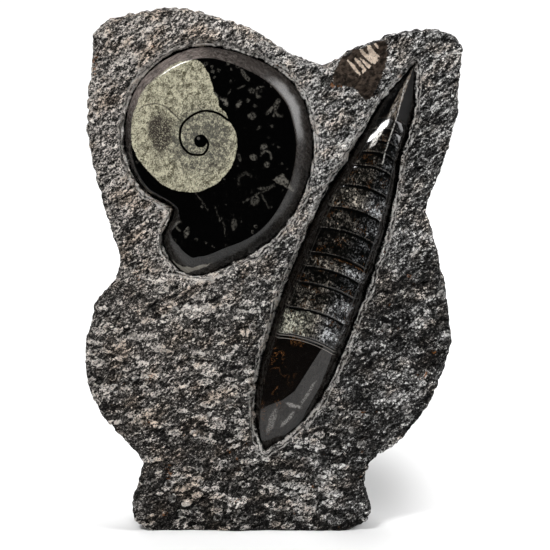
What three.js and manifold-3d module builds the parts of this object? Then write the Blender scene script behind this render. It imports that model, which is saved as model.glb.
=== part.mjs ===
// Fossil display of one upright slab of dark limestone, chiselled rough, with two fossils
// worked out of its face and polished: a long straight orthoceras and a coiled goniatite.
// Millimetres, +Z up. The worked face looks along -Y, and the origin is under the middle of
// the slab, on the surface that its foot stands on.
import * as THREE from "three";
import { mergeVertices } from "three/addons/utils/BufferGeometryUtils.js";
import Module from "manifold-3d";

const wasm = await Module();
wasm.setup();

// Depths are measured into the stone from the face's own level, and what stands out of it is negative.
const FOOT_THICKNESS = 62;
const TOP_THICKNESS = 42;
const FOOT_FLARE_HEIGHT = 95;
const TROUGH_DEPTH = 6.5;
const POCKET_DEPTH = 14;
const GAP = 0.3;

// The slab's outline, x and z, from the left end of the foot up the left side and round.
// The foot dips under z 0, where it is cut flat.
const SLAB_OUTLINE = [
  [-91, 9], [-88.5, 21], [-85.5, 31], [-83, 39], [-87, 47], [-96, 57], [-106, 69], [-114, 82],
  [-118.5, 96], [-119.5, 110], [-117, 126], [-113, 142], [-106, 152], [-99, 162], [-96.5, 172],
  [-101, 187], [-106, 202], [-110, 218], [-114, 233], [-116.5, 248], [-117, 265], [-115, 283],
  [-114, 300], [-112.5, 314], [-105, 321], [-92, 325.5], [-77, 328.5], [-64, 330], [-51, 328.5],
  [-38, 325.5], [-22, 321], [-7, 312.5], [8, 304], [20, 297.5], [29, 295.5], [38, 297.5],
  [47.5, 303.5], [67, 311.5], [79, 315.5], [92, 316.5], [106, 316.5], [114, 312], [118.5, 305],
  [119, 294], [117, 279], [115, 261], [110, 241], [104.5, 225], [98.5, 211], [97, 203],
  [101, 188], [105, 172], [109, 154], [112, 132], [113.5, 120], [110, 108], [104.5, 90],
  [97, 76], [84.5, 60], [77, 52.5], [66, 46], [61, 38], [58.5, 29], [60, 19], [63, 10],
  [60, 4], [48, -2], [0, -4], [-40, -4], [-74, -3], [-88, 3],
];
const SLAB_MIDDLE = new THREE.Vector2(-12, 150);

// The goniatite's outline, x and z, from its top and round past the notch where the mouth
// of the shell meets the last whorl.
const GONIATITE_OUTLINE = [
  [-40, 304.5], [-51, 303.5], [-62, 299.5], [-72, 293.5], [-81, 285], [-87, 275], [-91, 262],
  [-92, 249], [-90.5, 236], [-86, 224], [-79, 215], [-69.5, 209.5], [-62, 204.5], [-63, 198],
  [-67, 193], [-68.5, 186], [-67, 178.5], [-62, 170], [-53, 163], [-40, 164], [-27, 170],
  [-13, 176.5], [1, 187], [11, 199.5], [18.5, 214], [23.5, 232], [24.5, 246], [22.5, 259],
  [18, 273], [10, 284], [-1, 292.5], [-14, 298.5], [-27, 302.5],
];
const GONIATITE_MIDDLE = new THREE.Vector2(-36, 235);
// The ground shoulder's width, for angles from +X through +Z, and how much it bulges.
const SHOULDER_ANGLES = [-180, -146, -135, -115, -90, -60, -30, 0, 45, 70, 90, 135, 165, 180];
const SHOULDER_WIDTHS = [3.8, 4, 6, 10.5, 9, 8.5, 9.5, 10, 10, 8, 6.4, 6.4, 4.5, 3.8];
const SHOULDER_BULGE = 0.15;
const GONIATITE_HEIGHT = 7;
const GONIATITE_CROWN = 1.6;
const GONIATITE_REACH = 75;

// The orthoceras lies along a line from its blunt end up to its point. s runs along it.
const ORTHOCERAS_END = new THREE.Vector2(-5, 50.5);
const ORTHOCERAS_POINT = new THREE.Vector2(88, 294);
const LENGTH = ORTHOCERAS_POINT.distanceTo(ORTHOCERAS_END);
const WIDTH_STATIONS = [0, 5, 13, 22, 31, 41, 52, 75, 100, 125, 150, 170, 187, 205, 230, 245, LENGTH];
const LEFT_WIDTHS = [0, 4.5, 10.5, 15, 18, 20.3, 22, 23.9, 25.3, 24.6, 23.7, 21.5, 17.8, 14.8, 10.8, 6, 0];
const RIGHT_WIDTHS = [0, 3.5, 8.5, 13.5, 17, 19.8, 21.6, 22.8, 23, 22.4, 21.6, 18.8, 16, 12, 10.4, 6, 0];
const HEIGHT_STATIONS = [0, 8, 20, 45, 76, 79, 120, 160, 200, 230, 248, LENGTH];
const HEIGHTS = [0.6, 3, 5.6, 7.4, 8, 9.6, 9.8, 9.2, 7.8, 6, 3.4, 0.6];
// The seam of each chamber wall, from the step where the chambers end up to the last one seen.
const STEP = 77.5;
const SEAMS = [95, 112, 122.5, 132, 148.5, 163, 178.5, 192, 201.5, 209, 217, 224];
const SEAM_DEPTH = 0.6;
const SEAM_HALF_WIDTH = 1;
const BAND_START = 0.76;
// Two facets are ground on the right of the living chamber: where the first starts across the
// shell, by how far along it, and the slopes of both.
const CREASE_STATIONS = [0, 24.6, 28.2, 35.1, 43, 52.4, 63.1, 80];
const CREASE_ACROSS = [-14, -11.4, -8.8, -1.4, 3.6, 5.4, 7.3, 10.5];
const FACET_SLOPE = 0.26;
const RIM_SLOPE = 0.95;

const ROUGH = new THREE.MeshStandardMaterial({ color: 0x5d5a57, roughness: 0.95, metalness: 0 });
const POLISHED_BLACK = new THREE.MeshStandardMaterial({ color: 0x131212, roughness: 0.15, metalness: 0 });
const POLISHED_GREY = new THREE.MeshStandardMaterial({ color: 0x2b2825, roughness: 0.22, metalness: 0 });

// A repeatable number between -1 and 1 for a place in a grid.
function scatter(i, j, k) {
  const wave = Math.sin(i * 127.1 + j * 311.7 + k * 74.7) * 43758.5453;
  return 2 * (wave - Math.floor(wave)) - 1;
}

// Smooth lumps between -1 and 1, about one unit across. layer picks a different pattern.
function lumps(x, z, layer) {
  const i = Math.floor(x);
  const j = Math.floor(z);
  const u = THREE.MathUtils.smoothstep(x - i, 0, 1);
  const v = THREE.MathUtils.smoothstep(z - j, 0, 1);
  const low = THREE.MathUtils.lerp(scatter(i, j, layer), scatter(i + 1, j, layer), u);
  const high = THREE.MathUtils.lerp(scatter(i, j + 1, layer), scatter(i + 1, j + 1, layer), u);
  return THREE.MathUtils.lerp(low, high, v);
}

function keyed(stations, values) {
  const curve = new THREE.CubicInterpolant(stations, values, 1);
  return (at) => curve.evaluate(at)[0];
}

function closedCurve(outline) {
  const points = outline.map(([x, z]) => new THREE.Vector3(x, 0, z));
  return new THREE.CatmullRomCurve3(points, true, "centripetal");
}

// A ring of count places evenly round a closed curve. place gives the point for the curve's
// x and z and for the share of the way round.
function ringOn(curve, count, place) {
  return Array.from({ length: count }, (_, i) => {
    const share = i / count;
    const at = curve.getPointAt(share);
    return place(at.x, at.z, share);
  });
}

// A closed surface over a stack of rings, which may differ in count, with a point at each end.
function stackRings(firstPoint, rings, lastPoint) {
  const points = [firstPoint, ...rings.flat(), lastPoint];
  const faces = [];
  let start = 1;
  const first = rings[0].length;
  for (let i = 0; i < first; i++) faces.push(0, 1 + ((i + 1) % first), 1 + i);
  for (let r = 0; r + 1 < rings.length; r++) {
    const [n, m] = [rings[r].length, rings[r + 1].length];
    const next = start + n;
    for (let i = 0, j = 0; i < n || j < m; ) {
      const a = start + (i % n);
      const b = next + (j % m);
      if (j === m || (i < n && (i + 1) / n <= (j + 1) / m)) {
        i += 1;
        faces.push(a, start + (i % n), b);
      } else {
        j += 1;
        faces.push(a, next + (j % m), b);
      }
    }
    start = next;
  }
  const last = rings.at(-1).length;
  for (let i = 0; i < last; i++) faces.push(start + i, start + ((i + 1) % last), points.length - 1);
  const positions = new Float32Array(points.flatMap((p) => [p.x, p.y, p.z]));
  return new THREE.BufferGeometry()
    .setAttribute("position", new THREE.BufferAttribute(positions, 3))
    .setIndex(faces);
}

function toSolid(geometry) {
  const bare = geometry.clone();
  bare.deleteAttribute("normal");
  bare.deleteAttribute("uv");
  const merged = mergeVertices(bare, 1e-4);
  return new wasm.Manifold(
    new wasm.Mesh({
      numProp: 3,
      vertProperties: merged.attributes.position.array,
      triVerts: new Uint32Array(merged.index.array),
    }),
  );
}

function toGeometry(solid) {
  const mesh = solid.getMesh();
  const geometry = new THREE.BufferGeometry()
    .setAttribute("position", new THREE.BufferAttribute(mesh.vertProperties, 3))
    .setIndex(new THREE.BufferAttribute(mesh.triVerts, 1));
  geometry.computeVertexNormals();
  return geometry;
}

const slabCurve = closedCurve(SLAB_OUTLINE);
const slabEdge = ringOn(slabCurve, 240, (x, z) => new THREE.Vector2(x, z));

function distanceToEdge(x, z) {
  return Math.sqrt(Math.min(...slabEdge.map((edge) => (edge.x - x) ** 2 + (edge.y - z) ** 2)));
}

// A layer of rough stone: how high its lumps are, and how wide along x and z.
const COARSE_FACE = { height: 1.3, width: 21, tall: 15, layer: 1 };
const FINE_FACE = { height: 1.1, width: 7.5, tall: 6, layer: 2 };
const COARSE_BACK = { height: 1.9, width: 24, tall: 18, layer: 3 };
const FINE_BACK = { height: 0.9, width: 9, tall: 8, layer: 4 };
function roughness({ height, width, tall, layer }, x, z) {
  return height * lumps(x / width, z / tall, layer);
}

// How far a point of the face is set back: lumps and chisel hollows, and a fall near the rim.
const RIM_FALL = 5;
const RIM_WIDTH = 12;
// A split runs down from the saddle between the two horns of the slab, shallower away from its middle.
const SPLIT_TOP = new THREE.Vector2(52, 306);
const SPLIT_DIRECTION = new THREE.Vector2(-0.45, 0.89);
const SPLIT_RADIUS = 27;
const SPLIT_SLOPE = 0.36;
const SPLIT_FADE = 0.11;
function faceDepth(x, z) {
  const rim = RIM_FALL * Math.max(0, 1 - distanceToEdge(x, z) / RIM_WIDTH) ** 2;
  const rough = roughness(COARSE_FACE, x, z) + roughness(FINE_FACE, x, z) + rim;
  const place = new THREE.Vector2(x, z).sub(SPLIT_TOP);
  if (place.length() > SPLIT_RADIUS) return rough;
  const split = (place.dot(SPLIT_DIRECTION) + SPLIT_RADIUS) * SPLIT_SLOPE - place.length() * SPLIT_FADE;
  return Math.max(rough, split);
}

function thickness(z) {
  const flare = 1 - THREE.MathUtils.smoothstep(z, 0, FOOT_FLARE_HEIGHT);
  return THREE.MathUtils.lerp(TOP_THICKNESS, FOOT_THICKNESS, flare);
}

function backDepth(x, z) {
  return thickness(z) + roughness(COARSE_BACK, x, z) + roughness(FINE_BACK, x, z);
}

// The rough block before the fossils' recesses are cut.
const SIDE_COUNT = 160;
const FACE_RINGS = 19;
const BACK_COUNT = 96;
const BACK_RINGS = 10;
const SIDE_LAYERS = [0, 0.22, 0.48, 0.74, 1];
const SIDE_INSETS = [0.014, 0.002, 0, 0.004, 0.03];
// Chips in the sides, as a share of the way in to the middle, and how many go round and across.
const CHIP_SHARE = 0.016;
const CHIPS_ROUND = 70;
const CHIPS_ACROSS = 3.2;
const BACK_EDGE_STEP = 2;
const FEWEST_IN_RING = 8;
function slabBlank() {
  const at = (x, z, share, depth) =>
    new THREE.Vector3(
      THREE.MathUtils.lerp(SLAB_MIDDLE.x, x, share),
      depth,
      THREE.MathUtils.lerp(SLAB_MIDDLE.y, z, share),
    );
  const face = (share) =>
    ringOn(slabCurve, Math.max(FEWEST_IN_RING, Math.round(SIDE_COUNT * share)), (x, z) => {
      const point = at(x, z, share, 0);
      point.y = faceDepth(point.x, point.z);
      return point;
    });
  const back = (share) =>
    ringOn(slabCurve, Math.max(FEWEST_IN_RING, Math.round(BACK_COUNT * share)), (x, z) => {
      const point = at(x, z, share, 0);
      point.y = backDepth(point.x, point.z);
      return point;
    });
  const side = (layer) =>
    ringOn(slabCurve, SIDE_COUNT, (x, z, round) => {
      const chips = CHIP_SHARE * lumps(round * CHIPS_ROUND, SIDE_LAYERS[layer] * CHIPS_ACROSS, 5);
      const point = at(x, z, 1 - SIDE_INSETS[layer] + Math.min(0, chips), 0);
      const front = faceDepth(point.x, point.z);
      const rear = backDepth(point.x, point.z) - BACK_EDGE_STEP;
      point.y = THREE.MathUtils.lerp(front, rear, SIDE_LAYERS[layer]);
      return point;
    });
  const faceRings = Array.from({ length: FACE_RINGS }, (_, i) => face((i + 1) / (FACE_RINGS + 1)));
  const backRings = Array.from({ length: BACK_RINGS }, (_, i) => back((i + 1) / (BACK_RINGS + 1)));
  const sides = SIDE_LAYERS.map((_, layer) => side(layer));
  const { x, y: z } = SLAB_MIDDLE;
  return stackRings(
    new THREE.Vector3(x, faceDepth(x, z), z),
    [...faceRings, ...sides, ...backRings.reverse()],
    new THREE.Vector3(x, backDepth(x, z), z),
  );
}

// Everything above the surface that the foot stands on.
const GROUND_SPAN = 500;
function aboveGround() {
  const box = new THREE.BoxGeometry(GROUND_SPAN, GROUND_SPAN, GROUND_SPAN);
  return toSolid(box.translate(0, 0, GROUND_SPAN / 2));
}

// A recess: a pocket that the fossil sits in, and a trough cut sloping round it.
// spread gives the outline moved outwards by a distance.
const TROUGH_SLOPE_WIDTH = 5.5;
const CLEAR_OF_FACE = 9;
function recess(spread, middle) {
  const ring = (distance, depth) => spread(distance).map((p) => new THREE.Vector3(p.x, depth, p.y));
  const perMillimetre = TROUGH_SLOPE_WIDTH / TROUGH_DEPTH;
  const mouth = GAP + perMillimetre * (TROUGH_DEPTH + CLEAR_OF_FACE);
  return toSolid(
    stackRings(
      new THREE.Vector3(middle.x, -CLEAR_OF_FACE, middle.y),
      [ring(mouth, -CLEAR_OF_FACE), ring(GAP, TROUGH_DEPTH), ring(GAP, POCKET_DEPTH)],
      new THREE.Vector3(middle.x, POCKET_DEPTH, middle.y),
    ),
  );
}

// Moves the points of an outline outwards, square to it.
function offset(points, distance) {
  return points.map((p, i) => {
    const before = points.at(i - 1);
    const after = points[(i + 1) % points.length];
    const along = after.clone().sub(before).normalize();
    return new THREE.Vector2(p.x - along.y * distance, p.y + along.x * distance);
  });
}

const GONIATITE_COUNT = 84;
const goniatiteCurve = closedCurve(GONIATITE_OUTLINE);
const goniatiteOutline = ringOn(goniatiteCurve, GONIATITE_COUNT, (x, z) => new THREE.Vector2(x, z));
goniatiteOutline.reverse();
const shoulderWidth = new THREE.LinearInterpolant(SHOULDER_ANGLES, SHOULDER_WIDTHS, 1);

// The wide mouth of the recess follows the shell's outline enlarged about its middle, so that
// the notch stays open, and the pocket's wall is the outline itself with a gap.
const GONIATITE_RADIUS = 62;
function spreadGoniatite(distance) {
  const fitted = offset(goniatiteOutline, GAP);
  const scale = 1 + (distance - GAP) / GONIATITE_RADIUS;
  return fitted.map((p) => p.clone().sub(GONIATITE_MIDDLE).multiplyScalar(scale).add(GONIATITE_MIDDLE));
}

// The coiled shell, polished to a low boss with a ground shoulder and a slightly crowned top.
const SHOULDER_STEPS = [0, 0.5, 1];
const TOP_RINGS = [0.85, 0.68, 0.51, 0.34, 0.17];
function goniatite() {
  const { x: cx, y: cz } = GONIATITE_MIDDLE;
  const scaled = (p, share, depth) =>
    new THREE.Vector3(THREE.MathUtils.lerp(cx, p.x, share), depth, THREE.MathUtils.lerp(cz, p.y, share));
  const width = (p) => {
    const angle = THREE.MathUtils.radToDeg(Math.atan2(p.y - cz, p.x - cx));
    return shoulderWidth.evaluate(angle)[0] / p.distanceTo(GONIATITE_MIDDLE);
  };
  const height = (p, share) => {
    const out = (share * p.distanceTo(GONIATITE_MIDDLE)) / GONIATITE_REACH;
    return GONIATITE_HEIGHT + GONIATITE_CROWN * (1 - out ** 2);
  };
  const shoulder = SHOULDER_STEPS.map((step) =>
    goniatiteOutline.map((p) => {
      const rise = step + SHOULDER_BULGE * step * (1 - step);
      const share = 1 - width(p) * step;
      return scaled(p, share, TROUGH_DEPTH - height(p, share) * rise);
    }),
  );
  const top = TOP_RINGS.map((ring) => {
    const every = ring > 0.5 ? 1 : 2;
    return goniatiteOutline
      .filter((_, i) => i % every === 0)
      .map((p) => {
        const share = (1 - width(p)) * ring;
        return scaled(p, share, TROUGH_DEPTH - height(p, share));
      });
  });
  const seat = POCKET_DEPTH - GAP;
  const crest = TROUGH_DEPTH - GONIATITE_HEIGHT - GONIATITE_CROWN;
  return stackRings(
    new THREE.Vector3(cx, crest, cz),
    [...top.reverse(), ...shoulder.reverse(), goniatiteOutline.map((p) => scaled(p, 1, seat))],
    new THREE.Vector3(cx, seat, cz),
  );
}

const orthocerasAxis = ORTHOCERAS_POINT.clone().sub(ORTHOCERAS_END).normalize();
const orthocerasAcross = new THREE.Vector2(orthocerasAxis.y, -orthocerasAxis.x);
const leftWidth = keyed(WIDTH_STATIONS, LEFT_WIDTHS);
const rightWidth = keyed(WIDTH_STATIONS, RIGHT_WIDTHS);
const heightAt = keyed(HEIGHT_STATIONS, HEIGHTS);

function onOrthoceras(s, across, depth) {
  const p = ORTHOCERAS_END.clone()
    .addScaledVector(orthocerasAxis, s)
    .addScaledVector(orthocerasAcross, across);
  return new THREE.Vector3(p.x, depth, p.y);
}

const SPINDLE_STATIONS = [
  1.5, 5, 9, 14, 22, 31, 41, 52, 63, 75, 88, 100, 112, 125, 137, 150, 160, 170, 179, 187, 196, 205, 217, 230, 238,
  245, 251, 256.5,
];
const END_CLEARANCE = 0.5;
function spreadOrthoceras(distance) {
  const flat = (s, across) => {
    const p = onOrthoceras(s, across, 0);
    return new THREE.Vector2(p.x, p.z);
  };
  const left = SPINDLE_STATIONS.map((s) => flat(s, -leftWidth(s)));
  const right = SPINDLE_STATIONS.map((s) => flat(s, rightWidth(s))).reverse();
  const beyondPoint = LENGTH + END_CLEARANCE + (distance - GAP);
  return offset([flat(-END_CLEARANCE, 0), ...left, flat(beyondPoint, 0), ...right], distance);
}

// The share of the full height across the shell: nearly flat on top, then a steep side band.
const BAND_HEIGHT = 0.8;
const BAND_CURVE = 1.25;
function sectionShare(side) {
  const out = Math.abs(side);
  if (out < BAND_START) return 1 - (1 - BAND_HEIGHT) * (out / BAND_START) ** 2;
  return BAND_HEIGHT * (1 - ((out - BAND_START) / (1 - BAND_START)) ** BAND_CURVE);
}

// The greatest height that the two facets leave in the living chamber.
const crease = new THREE.LinearInterpolant(CREASE_STATIONS, CREASE_ACROSS, 1);
function groundFacets(s, across) {
  if (s > STEP) return Infinity;
  const first = heightAt(s) - FACET_SLOPE * Math.max(0, across - crease.evaluate(s)[0]);
  if (across < 0) return first;
  return Math.min(first, RIM_SLOPE * (rightWidth(s) - across));
}

// Each seam bows towards the point of the shell.
const SEAM_BOW = 2.6;
const SEAM_SKEW = 1.4;
const SECTION_SIDES = [-1, -0.93, -0.85, -BAND_START, -0.55, -0.28, 0, 0.28, 0.55, BAND_START, 0.85, 0.93, 1];
const SEAT_SIDES = [1, 0.33, -0.33, -1];
const BODY_STATIONS = [1.5, 5, 9, 14, 22, 31, 41, 52, 64];
const STEP_STATIONS = [STEP - 2, STEP + 0.6];
const TIP_STATIONS = [232, 240, 247, 252, 256.5];
function orthoceras() {
  const seat = POCKET_DEPTH - GAP;
  const acrossAt = (s, side) => (side < 0 ? side * leftWidth(s) : side * rightWidth(s));
  const section = (s, groove, bowed) => {
    const top = SECTION_SIDES.map((side) => {
      const across = acrossAt(s, side);
      const inner = Math.abs(side) <= BAND_START;
      const bow = bowed && inner ? SEAM_SKEW * side - SEAM_BOW * (side / BAND_START) ** 2 : 0;
      const cut = inner ? groove : 0;
      const height = Math.min(heightAt(s) * sectionShare(side) - cut, groundFacets(s, across));
      return onOrthoceras(s + bow, across, TROUGH_DEPTH - height);
    });
    return [...top, ...SEAT_SIDES.map((side) => onOrthoceras(s, acrossAt(s, side), seat))];
  };
  const body = BODY_STATIONS.map((s) => section(s, 0, false));
  const step = STEP_STATIONS.map((s) => section(s, 0, true));
  const grooves = SEAMS.flatMap((seam, i) => [
    section(((SEAMS[i - 1] ?? STEP) + seam) / 2, 0, true),
    section(seam - SEAM_HALF_WIDTH, 0, true),
    section(seam, SEAM_DEPTH, true),
    section(seam + SEAM_HALF_WIDTH, 0, true),
  ]);
  const tip = TIP_STATIONS.map((s) => section(s, 0, false));
  return stackRings(
    onOrthoceras(0, 0, (TROUGH_DEPTH + seat) / 2),
    [...body, ...step, ...grooves, ...tip],
    onOrthoceras(LENGTH, 0, (TROUGH_DEPTH + seat) / 2),
  );
}

function matrix() {
  const middle = ORTHOCERAS_END.clone().lerp(ORTHOCERAS_POINT, 0.5);
  const worked = toSolid(slabBlank())
    .intersect(aboveGround())
    .subtract(recess(spreadGoniatite, GONIATITE_MIDDLE))
    .subtract(recess(spreadOrthoceras, middle));
  return toGeometry(worked);
}

function named(name, geometry, material) {
  const mesh = new THREE.Mesh(geometry, material);
  mesh.name = name;
  return mesh;
}

const display = new THREE.Group();
display.add(
  named("matrix", matrix(), ROUGH),
  named("goniatite", goniatite(), POLISHED_BLACK),
  named("orthoceras", orthoceras(), POLISHED_GREY),
);
// The middle of the whole thing is moved over the origin.
const extent = new THREE.Box3().setFromObject(display);
const middle = extent.getCenter(new THREE.Vector3());
display.position.set(-middle.x, -middle.y, -extent.min.z);

export default display;
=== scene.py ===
import itertools
import math

import bpy
import numpy as np
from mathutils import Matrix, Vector


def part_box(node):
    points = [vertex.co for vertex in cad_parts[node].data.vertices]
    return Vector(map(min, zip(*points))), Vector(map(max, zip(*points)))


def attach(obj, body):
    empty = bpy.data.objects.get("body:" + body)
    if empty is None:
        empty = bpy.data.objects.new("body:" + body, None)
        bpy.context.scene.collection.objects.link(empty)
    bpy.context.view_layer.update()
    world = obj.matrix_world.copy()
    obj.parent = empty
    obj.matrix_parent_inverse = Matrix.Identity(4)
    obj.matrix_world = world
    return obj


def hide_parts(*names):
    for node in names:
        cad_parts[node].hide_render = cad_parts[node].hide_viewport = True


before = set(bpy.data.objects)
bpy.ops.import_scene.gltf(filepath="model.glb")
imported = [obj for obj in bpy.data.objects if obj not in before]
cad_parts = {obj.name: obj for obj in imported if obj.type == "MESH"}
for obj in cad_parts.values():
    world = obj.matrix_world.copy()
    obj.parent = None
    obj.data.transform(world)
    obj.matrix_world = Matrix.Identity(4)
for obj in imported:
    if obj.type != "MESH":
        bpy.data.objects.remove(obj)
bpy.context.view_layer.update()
MM = 0.001

# Shapes are worked out in millimetres in the slab's own coordinates: x to the right along the face, depth
# into the stone from the face's level, and z up from the foot. Each piece is moved into the frame, in metres,
# as the last thing done to its mesh. Where those coordinates lie in the frame is read from the solids.
SEAT_DEPTH = 13.7
ORTHOCERAS_END = np.array([-5.0, 50.5])
ORTHOCERAS_POINT = np.array([88.0, 294.0])
orthoceras_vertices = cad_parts["orthoceras"].data.vertices
lowest_vertex = min((vertex.co for vertex in orthoceras_vertices), key=lambda co: co.z)
FACE_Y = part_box("goniatite")[1].y - SEAT_DEPTH * MM
SHIFT_X = lowest_vertex.x - ORTHOCERAS_END[0] * MM


def to_frame(points):
    """Slab coordinates in millimetres, as the frame's metres."""
    return points * MM + np.array([SHIFT_X, FACE_Y, 0.0])


def from_frame(points):
    """The frame's metres, as slab coordinates in millimetres."""
    return (points - np.array([SHIFT_X, FACE_Y, 0.0])) / MM


# Noise and measuring

def scatter(cells, seed):
    """A repeatable number from 0 to 1 for each cell of a grid."""
    wave = np.sin(cells @ np.array([127.1, 311.7, 74.7]) + 53.3 * seed) * 43758.5453
    return wave - np.floor(wave)


def lumps(points, size, seed):
    """Smooth noise from -1 to 1 at points in millimetres, with lumps of that size."""
    scaled = points / size
    cells = np.floor(scaled)
    share = scaled - cells
    share = share * share * (3 - 2 * share)
    total = np.zeros(len(points))
    for corner in itertools.product((0, 1), repeat=3):
        corner = np.array(corner)
        weight = np.prod(np.where(corner, share, 1 - share), axis=1)
        total += weight * scatter(cells + corner, seed)
    return 2 * total - 1


def layered(points, size, seed, layers=3):
    """Noise with finer and weaker lumps laid over the coarse ones."""
    total = sum(lumps(points, np.asarray(size) / 2**k, seed + k) / 2**k for k in range(layers))
    return total / (2 - 2 ** (1 - layers))


def smooth(value, low, high):
    """0 below low and 1 above high, with a smooth rise between."""
    share = np.clip((value - low) / (high - low), 0, 1)
    return share * share * (3 - 2 * share)


def nearest_on(path, points, closed=False):
    """For each point: its distance to a path of x and z points, and how far along the path that is."""
    starts = path if closed else path[:-1]
    ends = np.roll(path, -1, axis=0) if closed else path[1:]
    lengths = np.linalg.norm(ends - starts, axis=1)
    before = np.concatenate([[0], np.cumsum(lengths)[:-1]])
    best = np.full(len(points), np.inf)
    along = np.zeros(len(points))
    for start, end, length, offset in zip(starts, ends, lengths, before):
        direction = (end - start) / length
        share = np.clip((points - start) @ direction, 0, length)
        distance = np.linalg.norm(points - start - share[:, None] * direction, axis=1)
        closer = distance < best
        best = np.where(closer, distance, best)
        along = np.where(closer, offset + share, along)
    return best, along


def inside(outline, points):
    """True for each point that lies inside a closed outline."""
    result = np.zeros(len(points), dtype=bool)
    for (x1, z1), (x2, z2) in zip(outline, np.roll(outline, -1, axis=0)):
        if z1 == z2:
            continue
        crosses = (points[:, 1] > min(z1, z2)) & (points[:, 1] <= max(z1, z2))
        at = x1 + (points[:, 1] - z1) * (x2 - x1) / (z2 - z1)
        result ^= crosses & (points[:, 0] < at)
    return result


def depth_inside(outline, points):
    """Millimetres to a closed outline, positive inside and negative outside."""
    distance, _ = nearest_on(outline, points, closed=True)
    return np.where(inside(outline, points), distance, -distance)


def rounded(corners, steps=6, closed=True):
    """A smooth curve through given points."""
    corners = np.asarray(corners, dtype=float)
    count = len(corners)
    if closed:
        before, after, beyond = (np.roll(corners, shift, axis=0) for shift in (1, -1, -2))
        spans = range(count)
    else:
        padded = np.vstack([2 * corners[0] - corners[1], corners, 2 * corners[-1] - corners[-2]])
        before, after, beyond = padded[:-3], padded[2:-1], padded[3:]
        corners = padded[1:-2]
        spans = range(count - 1)
    curve = []
    for k in spans:
        a, b, c, d = before[k], corners[k], after[k], beyond[k]
        for t in np.arange(steps) / steps:
            curve.append(0.5 * (2 * b + (c - a) * t + (2 * a - 5 * b + 4 * c - d) * t * t
                                + (3 * b - a - 3 * c + d) * t**3))
    if not closed:
        curve.append(after[count - 2])
    return np.array(curve)


# Meshes

def deselect():
    bpy.ops.object.select_all(action="DESELECT")


def select_only(piece):
    deselect()
    piece.select_set(True)
    bpy.context.view_layer.objects.active = piece


def vertex_points(piece):
    points = np.empty(3 * len(piece.data.vertices))
    piece.data.vertices.foreach_get("co", points)
    return points.reshape(-1, 3)


def vertex_normals(piece):
    normals = np.empty(3 * len(piece.data.vertices))
    piece.data.vertex_normals.foreach_get("vector", normals)
    return normals.reshape(-1, 3)


def move_vertices(piece, points):
    piece.data.vertices.foreach_set("co", np.ascontiguousarray(points, dtype=float).ravel())
    piece.data.update()


def paint(piece, name, values):
    """Stores a number for each vertex under a name that a material reads."""
    layer = piece.data.attributes.new(name, "FLOAT", "POINT")
    layer.data.foreach_set("value", np.asarray(values, dtype=np.float32))


def apply_modifier(piece, kind, **settings):
    modifier = piece.modifiers.new(kind.title(), kind)
    for key, value in settings.items():
        setattr(modifier, key, value)
    select_only(piece)
    bpy.ops.object.modifier_apply(modifier=modifier.name)


def sheet_grid(name, across, along):
    """A flat grid with one vertex for each step across and along, whose places a shaper sets."""
    deselect()
    bpy.ops.mesh.primitive_grid_add(x_subdivisions=across - 1, y_subdivisions=along - 1, size=2)
    piece = bpy.context.object
    piece.name = piece.data.name = name
    return piece


def merge_seams(piece, distance):
    """Welds the edges that a shaper laid on each other, and points all faces outwards."""
    select_only(piece)
    bpy.ops.object.mode_set(mode="EDIT")
    bpy.ops.mesh.select_all(action="SELECT")
    bpy.ops.mesh.remove_doubles(threshold=distance)
    bpy.ops.mesh.normals_make_consistent(inside=False)
    bpy.ops.object.mode_set(mode="OBJECT")
    bpy.ops.object.shade_smooth()


# The goniatite

GONIATITE_MIDDLE = np.array([-36.0, 235.0])
TROUGH_DEPTH = 6.5
GONIATITE_HEIGHT = 7.0
GONIATITE_CROWN = 1.6
GONIATITE_REACH = 75.0
# The shoulder's width in millimetres, by the angle round the boss's middle.
SHOULDER_ANGLES = [-180, -160, -146, -130, -124, -113, -100, -90, -60, -30, 0, 45, 70, 90, 135, 165, 180]
SHOULDER_WIDTHS = [3.2, 2.6, 2, 1.8, 3, 8.5, 11, 10, 8.5, 9.5, 10, 10, 8, 6.4, 6.4, 4, 3.2]
CREASE = 0.11
# A corner of the seat nearer to the boss's middle than this isn't on its outline.
SEAT_MIDDLE_REACH = 10
# How strong the painted sheen on the shoulder is, by the same angles' measure.
SHEEN_ANGLES = [-180, -60, 30, 70, 92, 104, 140, 156, 180]
SHEEN_SHARES = [0.1, 0.0, 0.15, 0.2, 0.35, 1.0, 1.0, 0.25, 0.1]


def goniatite_rim():
    """The boss's outline from the CAD solid: its seat's corners, in order, without the seat's own middle."""
    points = from_frame(np.array([vertex.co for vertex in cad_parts["goniatite"].data.vertices]))
    seat = np.unique(np.round(points[points[:, 1] > SEAT_DEPTH - 0.05][:, [0, 2]], 3), axis=0)
    seat = seat[np.linalg.norm(seat - GONIATITE_MIDDLE, axis=1) > SEAT_MIDDLE_REACH]
    offsets = seat - GONIATITE_MIDDLE
    return seat[np.argsort(np.arctan2(offsets[:, 1], offsets[:, 0]))]


GONIATITE_RIM = rounded(goniatite_rim(), steps=8)


def turn_round_goniatite(flat):
    """The angle in degrees, from +X to +Z, of each point seen from the boss's middle."""
    offsets = flat - GONIATITE_MIDDLE
    return np.degrees(np.arctan2(offsets[:, 1], offsets[:, 0]))


def shoulder_step(flat):
    """0 at the rim and 1 at the shoulder's crease, and on past it over the face."""
    width = np.interp(turn_round_goniatite(flat), SHOULDER_ANGLES, SHOULDER_WIDTHS)
    return depth_inside(GONIATITE_RIM, flat) / width


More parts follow.
